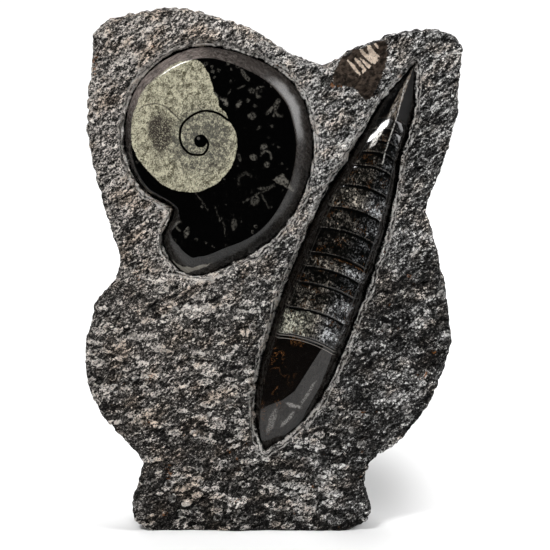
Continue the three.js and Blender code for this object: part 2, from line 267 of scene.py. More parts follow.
def goniatite_height(flat):
    """How far the polished surface stands over the trough at x and z points."""
    out = np.linalg.norm(flat - GONIATITE_MIDDLE, axis=1) / GONIATITE_REACH
    full = GONIATITE_HEIGHT + GONIATITE_CROWN * (1 - out * out)
    past = 1 - np.maximum(shoulder_step(flat), 0)
    past = (past + np.sqrt(past**2 + CREASE**2)) / 2
    return full * np.maximum(0, 1 - 0.85 * past - 0.15 * past**2)


def make_goniatite():
    """A round grid, with rings from the middle of the seat, over the rim, to the middle of the face."""
    rim = GONIATITE_RIM
    columns = np.arange(len(rim) + 1) % len(rim)
    middle = np.tile([GONIATITE_MIDDLE[0], SEAT_DEPTH, GONIATITE_MIDDLE[1]], (len(columns), 1))
    rows = [middle, np.insert(rim[columns], 1, SEAT_DEPTH, axis=1)]
    for share in np.concatenate([np.linspace(1, 0.78, 46), np.linspace(0.775, 0, 68)]):
        flat = GONIATITE_MIDDLE + (rim - GONIATITE_MIDDLE) * share
        rows.append(np.insert(flat, 1, TROUGH_DEPTH - goniatite_height(flat), axis=1)[columns])
    piece = sheet_grid("goniatite_shell", len(columns), len(rows))
    move_vertices(piece, to_frame(np.vstack(rows)))
    merge_seams(piece, 0.00001)
    return piece


# What shows in the goniatite's polished face, in slab coordinates

COIL_MIDDLE = np.array([-45.0, 246.9])
SHELL_OUTLINE = rounded([
    (-55, 296.3), (-48.8, 296.9), (-43.8, 294.4), (-40, 288.1), (-37.5, 281.9), (-36.5, 276.5),
    (-34, 272.5), (-33.5, 268), (-30, 265), (-27.5, 260), (-24.4, 255), (-22.5, 248.8), (-22.5, 241.3),
    (-24.4, 233.8), (-28.1, 227.5), (-33.1, 221.9), (-39.4, 218.1), (-45.6, 215.6), (-53.1, 215),
    (-60.6, 216.3), (-66.9, 218.8), (-71.9, 222.5), (-78.1, 228.8), (-83.1, 235), (-86.9, 242.5),
    (-88, 250.6), (-87.8, 256.9), (-86.8, 263.1), (-84.5, 269.4), (-81.9, 275.6), (-76.9, 281.9),
    (-70.6, 287.5), (-64.4, 292.5), (-58.1, 295.6)])
# The coil's line by its radius at angles from +X through +Z, clockwise and outwards.
COIL_ANGLES = [20, -10, -40, -65, -90, -135, -180, -225, -270, -300, -324]
COIL_RADII = [3.4, 4.6, 6.0, 7.6, 8.8, 10.6, 12.5, 15.2, 18.1, 20.0, 21.5]
UMBILICUS = np.array([-44.8, 246.8])
UMBILICUS_RADIUS = 4.1
UMBILICUS_DOT = np.array([-46.2, 248.4])
SEPTUM = rounded([(-83.1, 266.8), (-77, 269.2), (-71, 269.6), (-65, 266.5), (-60, 262), (-57, 258.5)],
                 closed=False)
# Dark stains in the calcite: a middle, two radii and a depth of colour.
SMUDGES = [(-70, 252, 8, 15.5, 1.0), (-64, 258, 4, 5, 0.5), (-69, 241, 4, 5, 0.5),
           (-33, 243.5, 5, 3, 0.45), (-57, 240.5, 6, 2.5, 0.3), (-38, 232, 3, 1.6, 0.6),
           (-50, 233, 2, 1.4, 0.4)]
# Bits of other shells in the black stone: a middle, two radii, a turn and a brightness.
BITS = [(-29.4, 270.6, 1.5, 2.6, 20, 0.75), (-21.2, 269.6, 2.4, 1.6, 60, 0.6),
        (-12.9, 262.2, 2.6, 2.4, 0, 0.4), (-5.6, 243.1, 2.2, 2, 0, 0.55), (-11.9, 236.5, 2.2, 2, 0, 0.5),
        (-4, 232, 1.6, 1.8, 0, 0.5), (-17.2, 287.2, 1.3, 4.4, 35, 0.45), (-27.8, 294.4, 1.6, 0.9, 30, 0.35),
        (-13.4, 277.9, 1.8, 1.8, 0, 0.3), (-24.4, 194.8, 1.9, 3.9, 0, 0.28),
        (-53.6, 189.8, 1.6, 3.6, -18, 0.6), (-15.3, 271.8, 1.2, 1.2, 0, 0.3), (-11, 268.4, 1.3, 1.1, 0, 0.3),
        (-11, 209.6, 2.6, 3.4, -30, 0.32), (-8.7, 255, 1.6, 0.9, 30, 0.35), (-21, 236.5, 1.2, 2.6, 20, 0.3),
        (-0.5, 256, 0.9, 1.4, 0, 0.25), (-44, 205.5, 0.8, 1.2, 40, 0.25), (-27, 277, 0.6, 2, -30, 0.3),
        (3, 243, 0.7, 0.7, 0, 0.4), (-3, 249, 0.8, 0.6, 0, 0.25)]
# Broken rings: a middle, a radius, the direction of the arc that is left, and a brightness.
RINGS = [(-6.9, 277, 3.4, 160, 0.4), (4.8, 265.5, 3.3, 200, 0.35), (-4.4, 237, 3.2, 60, 0.5),
         (-57.6, 193.6, 2.7, 170, 0.5), (-17, 222, 4.6, 120, 0.15)]
# Straight slivers of shell: two ends, a half width and a brightness.
LINES = [((-36.5, 276), (-30.5, 271.5), 0.5, 0.6), ((3.4, 271.8), (-3.2, 264), 1.0, 0.45),
         ((3.4, 271.8), (0.5, 262), 0.5, 0.4), ((0.5, 218.7), (-19.1, 208.6), 0.35, 0.3),
         ((1, 219), (-9, 217), 0.6, 0.35), ((-47.8, 214.4), (-40.6, 203.8), 0.3, 0.3),
         ((-36.3, 205.8), (-32.5, 197.1), 0.3, 0.3), ((-31.6, 199.1), (-29.6, 188.6), 0.3, 0.22),
         ((-7, 213), (-3, 205), 0.35, 0.22), ((-21, 279.6), (-18, 281), 0.4, 0.35)]
WEDGE = np.array([(-0.9, 222.9), (5.8, 226.3), (9.6, 221.6), (13.6, 214.6), (3.8, 220.6)])
SLIVER = np.array([(-63.6, 172.3), (-57.4, 167.8), (-49.8, 167.6), (-38.2, 170.2), (-45.9, 166),
                   (-54.5, 163.2), (-61, 166)])


def oval(points, x, z, across, up, turn=0):
    """0 at the middle of an oval and 1 at its edge."""
    turn = math.radians(turn)
    dx, dz = points[:, 0] - x, points[:, 1] - z
    return np.hypot((dx * math.cos(turn) + dz * math.sin(turn)) / across,
                    (dz * math.cos(turn) - dx * math.sin(turn)) / up)


def coil_line():
    angles = np.radians(COIL_ANGLES)
    directions = np.column_stack([np.cos(angles), np.sin(angles)])
    return rounded(COIL_MIDDLE + directions * np.array(COIL_RADII)[:, None], closed=False)


def shell_bits(flat):
    """Brightness of the bits of other shells at each point of the polished black stone."""
    bits = np.zeros(len(flat))
    for x, z, across, up, turn, bright in BITS:
        bits = np.maximum(bits, bright * smooth(oval(flat, x, z, across, up, turn), 1.15, 0.75))
    for x, z, radius, turn, bright in RINGS:
        turn = math.radians(turn)
        facing = (flat - (x, z)) @ np.array([math.cos(turn), math.sin(turn)]) / radius
        ring = smooth(abs(oval(flat, x, z, radius, radius) - 1), 0.28, 0.1)
        bits = np.maximum(bits, bright * ring * smooth(facing, -0.4, 0.4))
    for start, end, half_width, bright in LINES:
        distance, _ = nearest_on(np.array([start, end]), flat)
        bits = np.maximum(bits, bright * smooth(distance, half_width + 0.3, half_width - 0.1))
    for outline, bright in ((WEDGE, 0.7), (SLIVER, 1.4)):
        bits = np.maximum(bits, bright * smooth(depth_inside(outline, flat), -0.3, 0.3))
    return bits


def mark_goniatite(piece):
    points = from_frame(vertex_points(piece))
    flat = points[:, [0, 2]]
    wander = 0.6 * np.column_stack([lumps(points, 4.0, 11), lumps(points, 4.0, 12)])
    paint(piece, "calcite", depth_inside(SHELL_OUTLINE, flat + 0.6 * wander))
    paint(piece, "coil", nearest_on(coil_line(), flat)[0])
    paint(piece, "umbilicus", np.linalg.norm(flat - UMBILICUS + 0.5 * wander, axis=1))
    paint(piece, "umbilicus_dot", np.linalg.norm(flat - UMBILICUS_DOT, axis=1))
    paint(piece, "septum", nearest_on(SEPTUM, flat + wander)[0])
    smudge = np.zeros(len(flat))
    for x, z, across, up, dark in SMUDGES:
        smudge = np.maximum(smudge, dark * smooth(oval(flat + 3 * wander, x, z, across, up), 1.2, 0.55))
    paint(piece, "smudge", smudge)
    ragged = np.column_stack([layered(points, 2.4, 13), layered(points, 2.4, 16)])
    paint(piece, "bits", shell_bits(flat + ragged))
    paint(piece, "step", shoulder_step(flat))
    # The painted sheen on the shoulder, strongest at its upper left.
    paint(piece, "ground", np.interp(turn_round_goniatite(flat), SHEEN_ANGLES, SHEEN_SHARES))


# The orthoceras, by how far along it and how far across

ORTHOCERAS_AXIS = (ORTHOCERAS_POINT - ORTHOCERAS_END) / np.linalg.norm(ORTHOCERAS_POINT - ORTHOCERAS_END)
ORTHOCERAS_ACROSS = np.array([ORTHOCERAS_AXIS[1], -ORTHOCERAS_AXIS[0]])
LENGTH = float(np.linalg.norm(ORTHOCERAS_POINT - ORTHOCERAS_END))
WIDTH_STATIONS = [0, 5, 13, 22, 31, 41, 52, 75, 100, 125, 150, 170, 187, 205, 230, 245, LENGTH]
LEFT_WIDTHS = [0, 4.5, 10.5, 15, 18, 20.3, 22, 23.9, 25.3, 24.6, 23.7, 21.5, 17.8, 14.8, 10.8, 6, 0]
RIGHT_WIDTHS = [0, 3.5, 8.5, 13.5, 17, 19.8, 21.6, 22.8, 23, 22.4, 21.6, 18.8, 16, 12, 10.4, 6, 0]
HEIGHT_STATIONS = [0, 8, 20, 45, 72, 125, 160, 200, 230, 248, LENGTH]
HEIGHTS = [0.6, 4.2, 7.1, 7.5, 7.8, 7.9, 7.6, 6.6, 5.6, 3.2, 0.6]
STEP_ALONG = 77.5
STEP_RISE = 1.9
SEAMS = [95, 112, 122.5, 132, 148.5, 163, 178.5, 192, 201.5, 209, 217, 224]
SEAM_DEPTH = 0.14
SEAM_BOW = 2.6
SEAM_SKEW = 1.4
BAND_START = 0.76
BAND_HEIGHT = 0.8
FLAT_HEIGHT = 0.97
ROOF_FROM = 208
ROOF_TO = 232


def keyed(stations, values):
    curve = rounded(np.column_stack([stations, values]), steps=8, closed=False)
    return lambda at: np.interp(at, curve[:, 0], curve[:, 1])


left_width = keyed(WIDTH_STATIONS, LEFT_WIDTHS)
right_width = keyed(WIDTH_STATIONS, RIGHT_WIDTHS)
base_height = keyed(HEIGHT_STATIONS, HEIGHTS)


def half_width(along, side):
    return np.where(side < 0, left_width(along), right_width(along))


def seam_bow(side):
    """How far a seam lies towards the point of the shell at a place across it."""
    inner = np.clip(side, -BAND_START, BAND_START)
    return SEAM_SKEW * inner - SEAM_BOW * (inner / BAND_START) ** 2


# The facets ground on the right of the living chamber: where the first one starts across the shell, by
# how far along it, and the slopes of both.
CREASE_STATIONS = [0, 24.6, 28.2, 35.1, 43, 52.4, 63.1, 74.7, 80]
CREASE_ACROSS = [-14, -11.4, -8.8, -1.4, 3.6, 5.4, 7.3, 9.6, 10.5]
FACET_SLOPE = 0.26
RIM_SLOPE = 0.95


def ground_facets(placed, side):
    """The greatest height that the facets leave in the living chamber."""
    across = side * half_width(placed, side)
    past = across - np.interp(placed, CREASE_STATIONS, CREASE_ACROSS)
    first = 0.97 * base_height(placed) - FACET_SLOPE * np.maximum(past, 0)
    second = RIM_SLOPE * (half_width(placed, side) - across)
    return np.where(placed < STEP_ALONG + 1, np.minimum(first, np.where(side > 0, second, np.inf)), np.inf)


def orthoceras_height(along, side, placed):
    """How far the surface stands over the trough. along is measured back along the seams, placed isn't."""
    out = np.abs(side)
    body = smooth(along, STEP_ALONG - 0.6, STEP_ALONG - 1.6)
    band_height = BAND_HEIGHT + (FLAT_HEIGHT - BAND_HEIGHT) * body
    crown = 1 - (1 - band_height) * (np.minimum(out, BAND_START) / BAND_START) ** 2
    fall = np.clip((out - BAND_START) / (1 - BAND_START), 0, 1)
    rounded_section = np.where(out < BAND_START, crown, band_height * (1 - fall ** 1.35))
    roof_section = 1.06 - 1.06 * out
    roof = smooth(along, ROOF_FROM, ROOF_TO)
    section = (1 - roof) * rounded_section + roof * roof_section
    inner = smooth(out, BAND_START + 0.02, BAND_START - 0.02)
    step = STEP_RISE * smooth(along, STEP_ALONG - 1.2, STEP_ALONG + 1.4) * smooth(along, 226, 200)
    seams = sum(np.exp(-((along - seam) / 0.5) ** 2) for seam in SEAMS)
    starts = np.array([STEP_ALONG, *SEAMS])
    index = np.clip(np.searchsorted(starts, along, side="right") - 1, 0, len(SEAMS) - 1)
    phase = np.clip((along - starts[index]) / (starts[index + 1] - starts[index]), 0, 1)
    swell = np.where((along > STEP_ALONG) & (along < SEAMS[-1]), 0.2 * np.sin(math.pi * phase), 0)
    worn = 1 - smooth(along, 196, 203) * smooth(side, 0.15, -0.15)
    height = base_height(along) * section + inner * (step * (0.75 + 0.25 * crown)
                                                     + worn * (swell - SEAM_DEPTH * seams))
    faceted = np.minimum(height, ground_facets(placed, side))
    return np.where(body > 0, (1 - body) * height + body * faceted, height)


# In millimetres along the shell and across it: the thin white line near the point, and pale patches with
# their sizes, turns and brightness. The brightest, near the point, is a painted highlight.
SIPHUNCLE = [(250, -0.5), (244, -0.9), (228.1, 1.2), (218.2, 1.6), (205, 2.0), (196, 3.2)]
PALE_PATCHES_AND_HIGHLIGHT = [(34, 6.5, 1.6, 5.5, 0, 0.28), (24, 6, 7, 1.3, 20, 0.22), (20, -3, 9, 2.2, 0, 0.14),
                (45, 12, 9, 1.2, 10, 0.16), (212, -5.8, 9.5, 1.6, 11, 1.0), (229, -2.5, 7, 0.9, 8, 0.3)]

ORTHOCERAS_ROWS = 560
ORTHOCERAS_COLUMNS = 121


def make_orthoceras():
    """A grid wrapped over the shell: rows run across it, along the seams, and down to its seat."""
    piece = sheet_grid("orthoceras_shell", ORTHOCERAS_COLUMNS + 4, ORTHOCERAS_ROWS)
    side = np.sin(np.linspace(-1, 1, ORTHOCERAS_COLUMNS) * math.pi / 2 * 0.86) / math.sin(math.pi / 2 * 0.86)
    along = np.linspace(0, LENGTH, ORTHOCERAS_ROWS)
    along_grid, side_grid = np.meshgrid(along, side, indexing="ij")
    envelope = smooth(along_grid, 40, 74) * smooth(along_grid, 245, 226)
    placed = along_grid + envelope * seam_bow(side_grid)
    across = side_grid * half_width(along_grid, side_grid)
    depth = TROUGH_DEPTH - orthoceras_height(along_grid, side_grid, placed)
    seat_side = np.array([1, 0.33, -0.33, -1])
    seat_along, seat_sides = np.meshgrid(along, seat_side, indexing="ij")
    placed = np.hstack([placed, seat_along])
    across = np.hstack([across, seat_sides * half_width(seat_along, seat_sides)])
    depth = np.hstack([depth, np.full(seat_along.shape, SEAT_DEPTH)])
    flat = (ORTHOCERAS_END + placed[..., None] * ORTHOCERAS_AXIS + across[..., None] * ORTHOCERAS_ACROSS)
    points = np.stack([flat[..., 0], depth, flat[..., 1]], axis=-1).reshape(-1, 3)
    move_vertices(piece, to_frame(points))
    paint(piece, "along", np.hstack([along_grid, seat_along]).ravel())
    paint(piece, "side", np.hstack([side_grid, seat_sides]).ravel())
    close_tube(piece, ORTHOCERAS_COLUMNS + 4, ORTHOCERAS_ROWS)
    return piece


def close_tube(piece, across, along):
    """Joins the first and last column of a grid, and closes its two ends."""
    select_only(piece)
    bpy.ops.object.mode_set(mode="EDIT")
    bpy.ops.mesh.select_mode(type="EDGE")
    bpy.ops.mesh.select_all(action="DESELECT")
    bpy.ops.object.mode_set(mode="OBJECT")
    for edge in piece.data.edges:
        columns = {vertex % across for vertex in edge.vertices}
        edge.select = columns in ({0}, {across - 1})
    bpy.ops.object.mode_set(mode="EDIT")
    bpy.ops.mesh.bridge_edge_loops()
    bpy.ops.mesh.select_all(action="SELECT")
    bpy.ops.mesh.remove_doubles(threshold=0.00001)
    bpy.ops.mesh.select_all(action="DESELECT")
    bpy.ops.mesh.select_mode(type="VERT")
    bpy.ops.mesh.select_non_manifold()
    bpy.ops.mesh.fill_holes(sides=0)
    bpy.ops.mesh.select_all(action="SELECT")
    bpy.ops.mesh.normals_make_consistent(inside=False)
    bpy.ops.object.mode_set(mode="OBJECT")
    bpy.ops.object.shade_smooth()


CHAMBER_TONES = np.array([0.5, 0.92, 0.62, 0.42, 0.6, 0.34, 0.5, 0.62, 0.5, 0.4, 0.5, 0.45, 0.5, 0.3])


def mark_orthoceras(piece):
    along = np.empty(len(piece.data.vertices), dtype=np.float32)
    piece.data.attributes["along"].data.foreach_get("value", along)
    starts = np.array([STEP_ALONG, *SEAMS])
    chamber = np.searchsorted(starts, along, side="right")
    paint(piece, "tone", CHAMBER_TONES[chamber])
    past = along[:, None] - starts
    paint(piece, "past_seam", past[np.arange(len(along)), np.argmin(np.abs(past), axis=1)])
    points = from_frame(vertex_points(piece))
    flat = points[:, [0, 2]]
    on_axis = (flat - ORTHOCERAS_END) @ np.column_stack([ORTHOCERAS_AXIS, ORTHOCERAS_ACROSS])
    paint(piece, "siphuncle", nearest_on(np.array(SIPHUNCLE), on_axis)[0])
    ragged = on_axis + 0.9 * np.column_stack([layered(points, 3.0, 51), layered(points, 3.0, 54)])
    pale_and_highlight = np.zeros(len(flat))
    for s_at, w_at, along_size, across_size, turn, bright in PALE_PATCHES_AND_HIGHLIGHT:
        shape = oval(ragged, s_at, w_at, along_size, across_size, turn)
        pale_and_highlight = np.maximum(pale_and_highlight, bright * smooth(shape, 1.2, 0.7))
    paint(piece, "pale_and_highlight", pale_and_highlight)
    paint(piece, "past_crease", on_axis[:, 1] - np.interp(on_axis[:, 0], CREASE_STATIONS, CREASE_ACROSS))


# The slab's worked surface, as a map of relief over its face

RELIEF_STEP = 0.5
RELIEF_X = np.arange(-124, 124.1, RELIEF_STEP)
RELIEF_Z = np.arange(-4, 334.1, RELIEF_STEP)
RELIEF_FLAT = np.stack(np.meshgrid(RELIEF_X, RELIEF_Z), axis=-1).reshape(-1, 2)


def orthoceras_rim():
    along = np.linspace(0, LENGTH, 70)
    middle = ORTHOCERAS_END + along[:, None] * ORTHOCERAS_AXIS
    left = middle - left_width(along)[:, None] * ORTHOCERAS_ACROSS
    right = middle + right_width(along)[:, None] * ORTHOCERAS_ACROSS
    return np.vstack([left, right[-2:0:-1]])


ORTHOCERAS_RIM = orthoceras_rim()


class FaceMap:
    """Relief in millimetres, outwards, and crushed light stone with painted light on the blows' upturned
    sides, from 0 to 1, on a grid over the face.
    """

    def __init__(self):
        shape = (len(RELIEF_Z), len(RELIEF_X))
        points = np.column_stack([RELIEF_FLAT[:, 0], np.zeros(len(RELIEF_FLAT)), RELIEF_FLAT[:, 1]])
        self.relief = (0.6 + 0.9 * layered(points, 9.0, 21)).reshape(shape)
        self.crushed_and_lit = np.zeros(shape)
        rims = [nearest_on(rim[::3] if len(rim) > 200 else rim, RELIEF_FLAT, closed=True)
                for rim in (GONIATITE_RIM, ORTHOCERAS_RIM)]
        nearer = rims[0][0] < rims[1][0]
        self.rim_distance = np.where(nearer, rims[0][0], rims[1][0]).reshape(shape)
        self.by_goniatite = nearer.astype(float).reshape(shape)

    def window(self, place, reach):
        columns = slice(*np.searchsorted(RELIEF_X, [place[0] - reach, place[0] + reach]))
        rows = slice(*np.searchsorted(RELIEF_Z, [place[1] - reach, place[1] + reach]))
        return rows, columns

    def gouge(self, place, turn, length, width, depth, crush):
        """One blow of the point chisel: a long bowl cut out of what stands, its lower side crushed and
        lighter, partly painted light where that side faces up.
        """
        rows, columns = self.window(place, max(length, width) / 2)
        x, z = np.meshgrid(RELIEF_X[columns] - place[0], RELIEF_Z[rows] - place[1])
        cosine, sine = math.cos(turn), math.sin(turn)
        along = (x * cosine + z * sine) / (length / 2)
        across = (z * cosine - x * sine) / (width / 2)
        out = along**2 + across**2
        bowl = np.where(out < 1, depth * (1.9 * out - 1), np.inf)
        self.relief[rows, columns] = np.minimum(self.relief[rows, columns], bowl)
        lit = crush * np.clip(1.3 - np.hypot(along, across + 0.35), 0, 1)
        self.crushed_and_lit[rows, columns] = np.where(out < 1, np.maximum(self.crushed_and_lit[rows, columns] * 0.75, lit),
                                               self.crushed_and_lit[rows, columns])

    def sample(self, values, flat):
        """The map's values at x and z points, by linear interpolation."""
        column = np.clip((flat[:, 0] - RELIEF_X[0]) / RELIEF_STEP, 0, len(RELIEF_X) - 1.001)
        row = np.clip((flat[:, 1] - RELIEF_Z[0]) / RELIEF_STEP, 0, len(RELIEF_Z) - 1.001)
        i, j = column.astype(int), row.astype(int)
        u, v = column - i, row - j
        return ((1 - v) * ((1 - u) * values[j, i] + u * values[j, i + 1])
                + v * ((1 - u) * values[j + 1, i] + u * values[j + 1, i + 1]))


GOUGES = 4200
GOUGE_LENGTHS = (3.5, 10)
GOUGE_WIDTHS = (2.2, 4.6)
GOUGE_DEPTHS = (0.3, 1.9)
# Nearer to a fossil's rim than this, most blows are long and narrow and run along the rim.
ALONG_RIM_REACH = 9
ALONG_RIM_SHARE = 0.8

# The brown patch above the orthoceras.
PATCH = rounded([(38.1, 289.4), (41.9, 296.3), (43.1, 301.3), (56, 306.5), (68.1, 311.9), (70.6, 297.5),
                 (64.4, 280), (58.1, 271.9), (49.4, 280), (38.1, 281.3)], steps=3)
# The pale scrapes across the patch: two ends and a half width at the middle.
SCRAPES = [((58.6, 307.4), (66.6, 289.4), 2.0), ((53.6, 304.0), (62, 294.6), 1.3),
           ((46.2, 297.4), (54.4, 286.8), 1.1), ((50.2, 298.6), (58, 289.6), 1.1),
           ((53.8, 298.1), (66.2, 286.6), 1.1), ((55, 290.8), (65, 280.2), 1.8),
           ((51.4, 285.8), (60.8, 272.3), 1.5), ((49.5, 281.6), (57.3, 270.3), 1.1),
           ((56.5, 283.2), (60.1, 277.8), 0.7), ((62.6, 308.2), (65.5, 303.5), 0.7),
           ((61, 302.5), (66, 298.6), 0.8), ((66.5, 293), (66, 277), 2.2)]
# Fresh light breaks and sooty places in the face, and painted light on the lower left edge where it turns to
# the lamp: a middle, two radii, a turn and a brightness.
FRESH_BREAKS_AND_LIT_EDGE = [(-66, 203, 3.2, 5.5, 10, 1.7), (-84, 12, 1.6, 22, -12, 1.0), (-90.5, 306, 4, 3, 30, 0.8),
         (-78, 309, 3, 4.5, 60, 0.9), (-50, 316, 5, 2, 20, 0.6), (2, 178, 12, 15, 30, -0.8),
         (93, 272, 7, 10, 0, -0.8), (-72, 288, 4, 2.2, 0, -1.2), (-35, 60, 20, 8, 10, -0.3),
         (75, 205, 5, 9, 30, 0.6), (62, 135, 10, 5, 0, -0.5)]
# How much lighter the trough's slope is round the goniatite, by angle, and beside the orthoceras, by how far
# along it: painted light where the slope lies in shade, partly pale tooled stone.
SLOPE_ANGLES = [-180, -150, -110, -60, 0, 45, 75, 95, 120, 150, 180]
SLOPE_LIGHT = [0.8, 0.7, 0.3, 0.3, 0.5, 0.6, 0.8, 1.5, 1.8, 1.3, 0.8]
SLOPE_STATIONS = [0, 20, 60, 150, 230, 262]
LEFT_SLOPE_LIGHT = [1.3, 1.3, 1.2, 1.1, 1.2, 0.9]
RIGHT_SLOPE_LIGHT = [1.2, 0.9, 0.3, 0.0, 0.3, 0.4]


def carve_face():
    """Thousands of seeded chisel blows over the face, turned along the fossils' rims near them."""
    face = FaceMap()
    draw = np.random.default_rng(7)
    for _ in range(GOUGES):
        place = np.array([draw.uniform(-121, 121), draw.uniform(0, 331)])
        row = min(int((place[1] - RELIEF_Z[0]) / RELIEF_STEP), len(RELIEF_Z) - 2)
        column = min(int((place[0] - RELIEF_X[0]) / RELIEF_STEP), len(RELIEF_X) - 2)
        distance = face.rim_distance[row, column]
        length, width = draw.uniform(*GOUGE_LENGTHS), draw.uniform(*GOUGE_WIDTHS)
        depth, crush = draw.uniform(*GOUGE_DEPTHS), draw.uniform(0, 1.0)
        upper = smooth(place[1], 150, 200)
        turn = math.radians(8 + 32 * upper + draw.normal(0, 24))
        if distance < ALONG_RIM_REACH and draw.uniform() < ALONG_RIM_SHARE:
            rightwards = face.rim_distance[row, column + 1] - distance
            upwards = face.rim_distance[row + 1, column] - distance
            turn = math.atan2(upwards, rightwards) + math.pi / 2 + draw.normal(0, 0.12)
            length, width, depth = length * 1.3, width * 0.45, depth * 0.7
        face.gouge(place, turn, length, width, depth, crush)
    return face


SLAB_VOXEL = 0.92 * MM
SLAB_TRIANGLES = 194000
# The value of a mark at a vertex that it never reaches.
UNMARKED = -5


def slab_lift(points, face, facing, polished):
    """How far each vertex moves out: the chisel work on the face, broken scallops on the edges and back."""
    broken = 1.5 * layered(points, np.array([6.0, 8.0, 5.5]), 31) - 0.9 * np.abs(lumps(points, 3.2, 35))
    scallops = (1 - np.abs(lumps(points, 9.0, 36))) ** 4
    broken -= (0.9 + 1.3 * smooth(points[:, 2], 170, 230)) * scallops
    lift = facing * face.sample(face.relief, points[:, [0, 2]]) + (1 - facing) * broken
    lift += 0.28 * lumps(points, 2.3, 37) + 0.16 * lumps(points, 1.3, 38)
    lift = np.where(polished & (points[:, 1] < SEAT_DEPTH + 1), 0, lift)
    return lift * smooth(points[:, 2], 0, 1.5)


def scrapes(flat):
    """Millimetres inside the nearest scrape, negative outside."""
    scraped = np.full(len(flat), float(UNMARKED))
    for start, end, half_width_mm in SCRAPES:
        distance, along = nearest_on(np.array([start, end]), flat)
        taper = np.sin(math.pi * along / math.dist(start, end)) ** 0.6
        scraped = np.maximum(scraped, half_width_mm * taper - distance)
    return scraped


def slope_light(flat, face):
    """How much lighter the slope of the trough is that each point is nearest to: painted light in its shade,
    partly pale tooled stone.
    """
    on_axis = (flat - ORTHOCERAS_END) @ np.column_stack([ORTHOCERAS_AXIS, ORTHOCERAS_ACROSS])
    left, right = (np.interp(on_axis[:, 0], SLOPE_STATIONS, light)
                   for light in (LEFT_SLOPE_LIGHT, RIGHT_SLOPE_LIGHT))
    round_goniatite = np.interp(turn_round_goniatite(flat), SLOPE_ANGLES, SLOPE_LIGHT)
    by_goniatite = face.sample(face.by_goniatite, flat) > 0.5
    return np.where(by_goniatite, round_goniatite, np.where(on_axis[:, 1] < 0, left, right))


def breaks_light_and_shade(points, face, facing):
    """How much lighter or darker than the rest the stone is at each vertex, partly painted light and shade.
    """
    flat = points[:, [0, 2]]
    painted_light_and_breaks = np.zeros(len(flat))
    for x, z, across, up, turn, bright in FRESH_BREAKS_AND_LIT_EDGE:
        painted_light_and_breaks += bright * smooth(oval(flat, x, z, across, up, turn), 1.3, 0.6)
    rim_distance = face.sample(face.rim_distance, flat)
    # Painted light on the trough's shaded slopes, partly pale tooled stone.
    painted_light_and_breaks += slope_light(flat, face) * smooth(rim_distance, 4.8, 3.0) * smooth(rim_distance, 0.4, 1.0)
    # Painted shade on the slab's sides near the face, below its upper part.
    painted_light_and_breaks -= 0.6 * (1 - facing) * smooth(points[:, 2], 200, 170) * smooth(points[:, 1], 24, 12)
    # Darker towards the foot.
    painted_light_and_breaks -= 0.5 * smooth(points[:, 2], 16, 2)
    return painted_light_and_breaks


def make_slab():
    """The CAD solid made fine, with the chisel work and breaks cut into it."""
    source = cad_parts["matrix"]
    piece = source.copy()
    piece.data = source.data.copy()
    piece.parent = None
    piece.name = piece.data.name = "worked_slab"
    bpy.context.scene.collection.objects.link(piece)
    merge_seams(piece, 0.000001)
    apply_modifier(piece, "REMESH", mode="VOXEL", voxel_size=SLAB_VOXEL, use_smooth_shade=True)
    points = from_frame(vertex_points(piece))
    normals = vertex_normals(piece)
    flat = points[:, [0, 2]]
    face = carve_face()
    facing = smooth(-normals[:, 1], 0.3, 0.75) * smooth(points[:, 1], 12, 9)
    polished = inside(GONIATITE_RIM, flat) | inside(ORTHOCERAS_RIM, flat)
    moved = points + normals * slab_lift(points, face, facing, polished)[:, None]
    moved[:, 2] = np.where(points[:, 2] < 0.3, 0, np.maximum(moved[:, 2], 0.0))
    move_vertices(piece, to_frame(moved))
    # Crushed stone, with painted light on the blows' upturned sides.
    paint(piece, "crushed_and_lit", facing * face.sample(face.crushed_and_lit, flat))
    paint(piece, "rim_distance", np.where(polished, 0, face.sample(face.rim_distance, flat)))
    paint(piece, "patch", facing * depth_inside(PATCH, flat) + UNMARKED * (1 - facing))
    paint(piece, "scraped", np.where(facing > 0.4, scrapes(flat), UNMARKED))
    paint(piece, "painted_light_and_breaks", breaks_light_and_shade(points, face, facing))
    thin_out(piece, np.flatnonzero(facing < 0.5))
    bpy.ops.object.shade_smooth()
    return piece


def thin_out(piece, unseen):
    """Brings the slab under its number of triangles, mostly where the face doesn't show."""
    coarse = piece.vertex_groups.new(name="coarse")
    coarse.add(unseen.tolist(), 1.0, "REPLACE")
    triangles = 2 * len(piece.data.polygons)
    apply_modifier(piece, "DECIMATE", ratio=min(1, SLAB_TRIANGLES / triangles), vertex_group="coarse",
                   vertex_group_factor=6.0)


# Materials

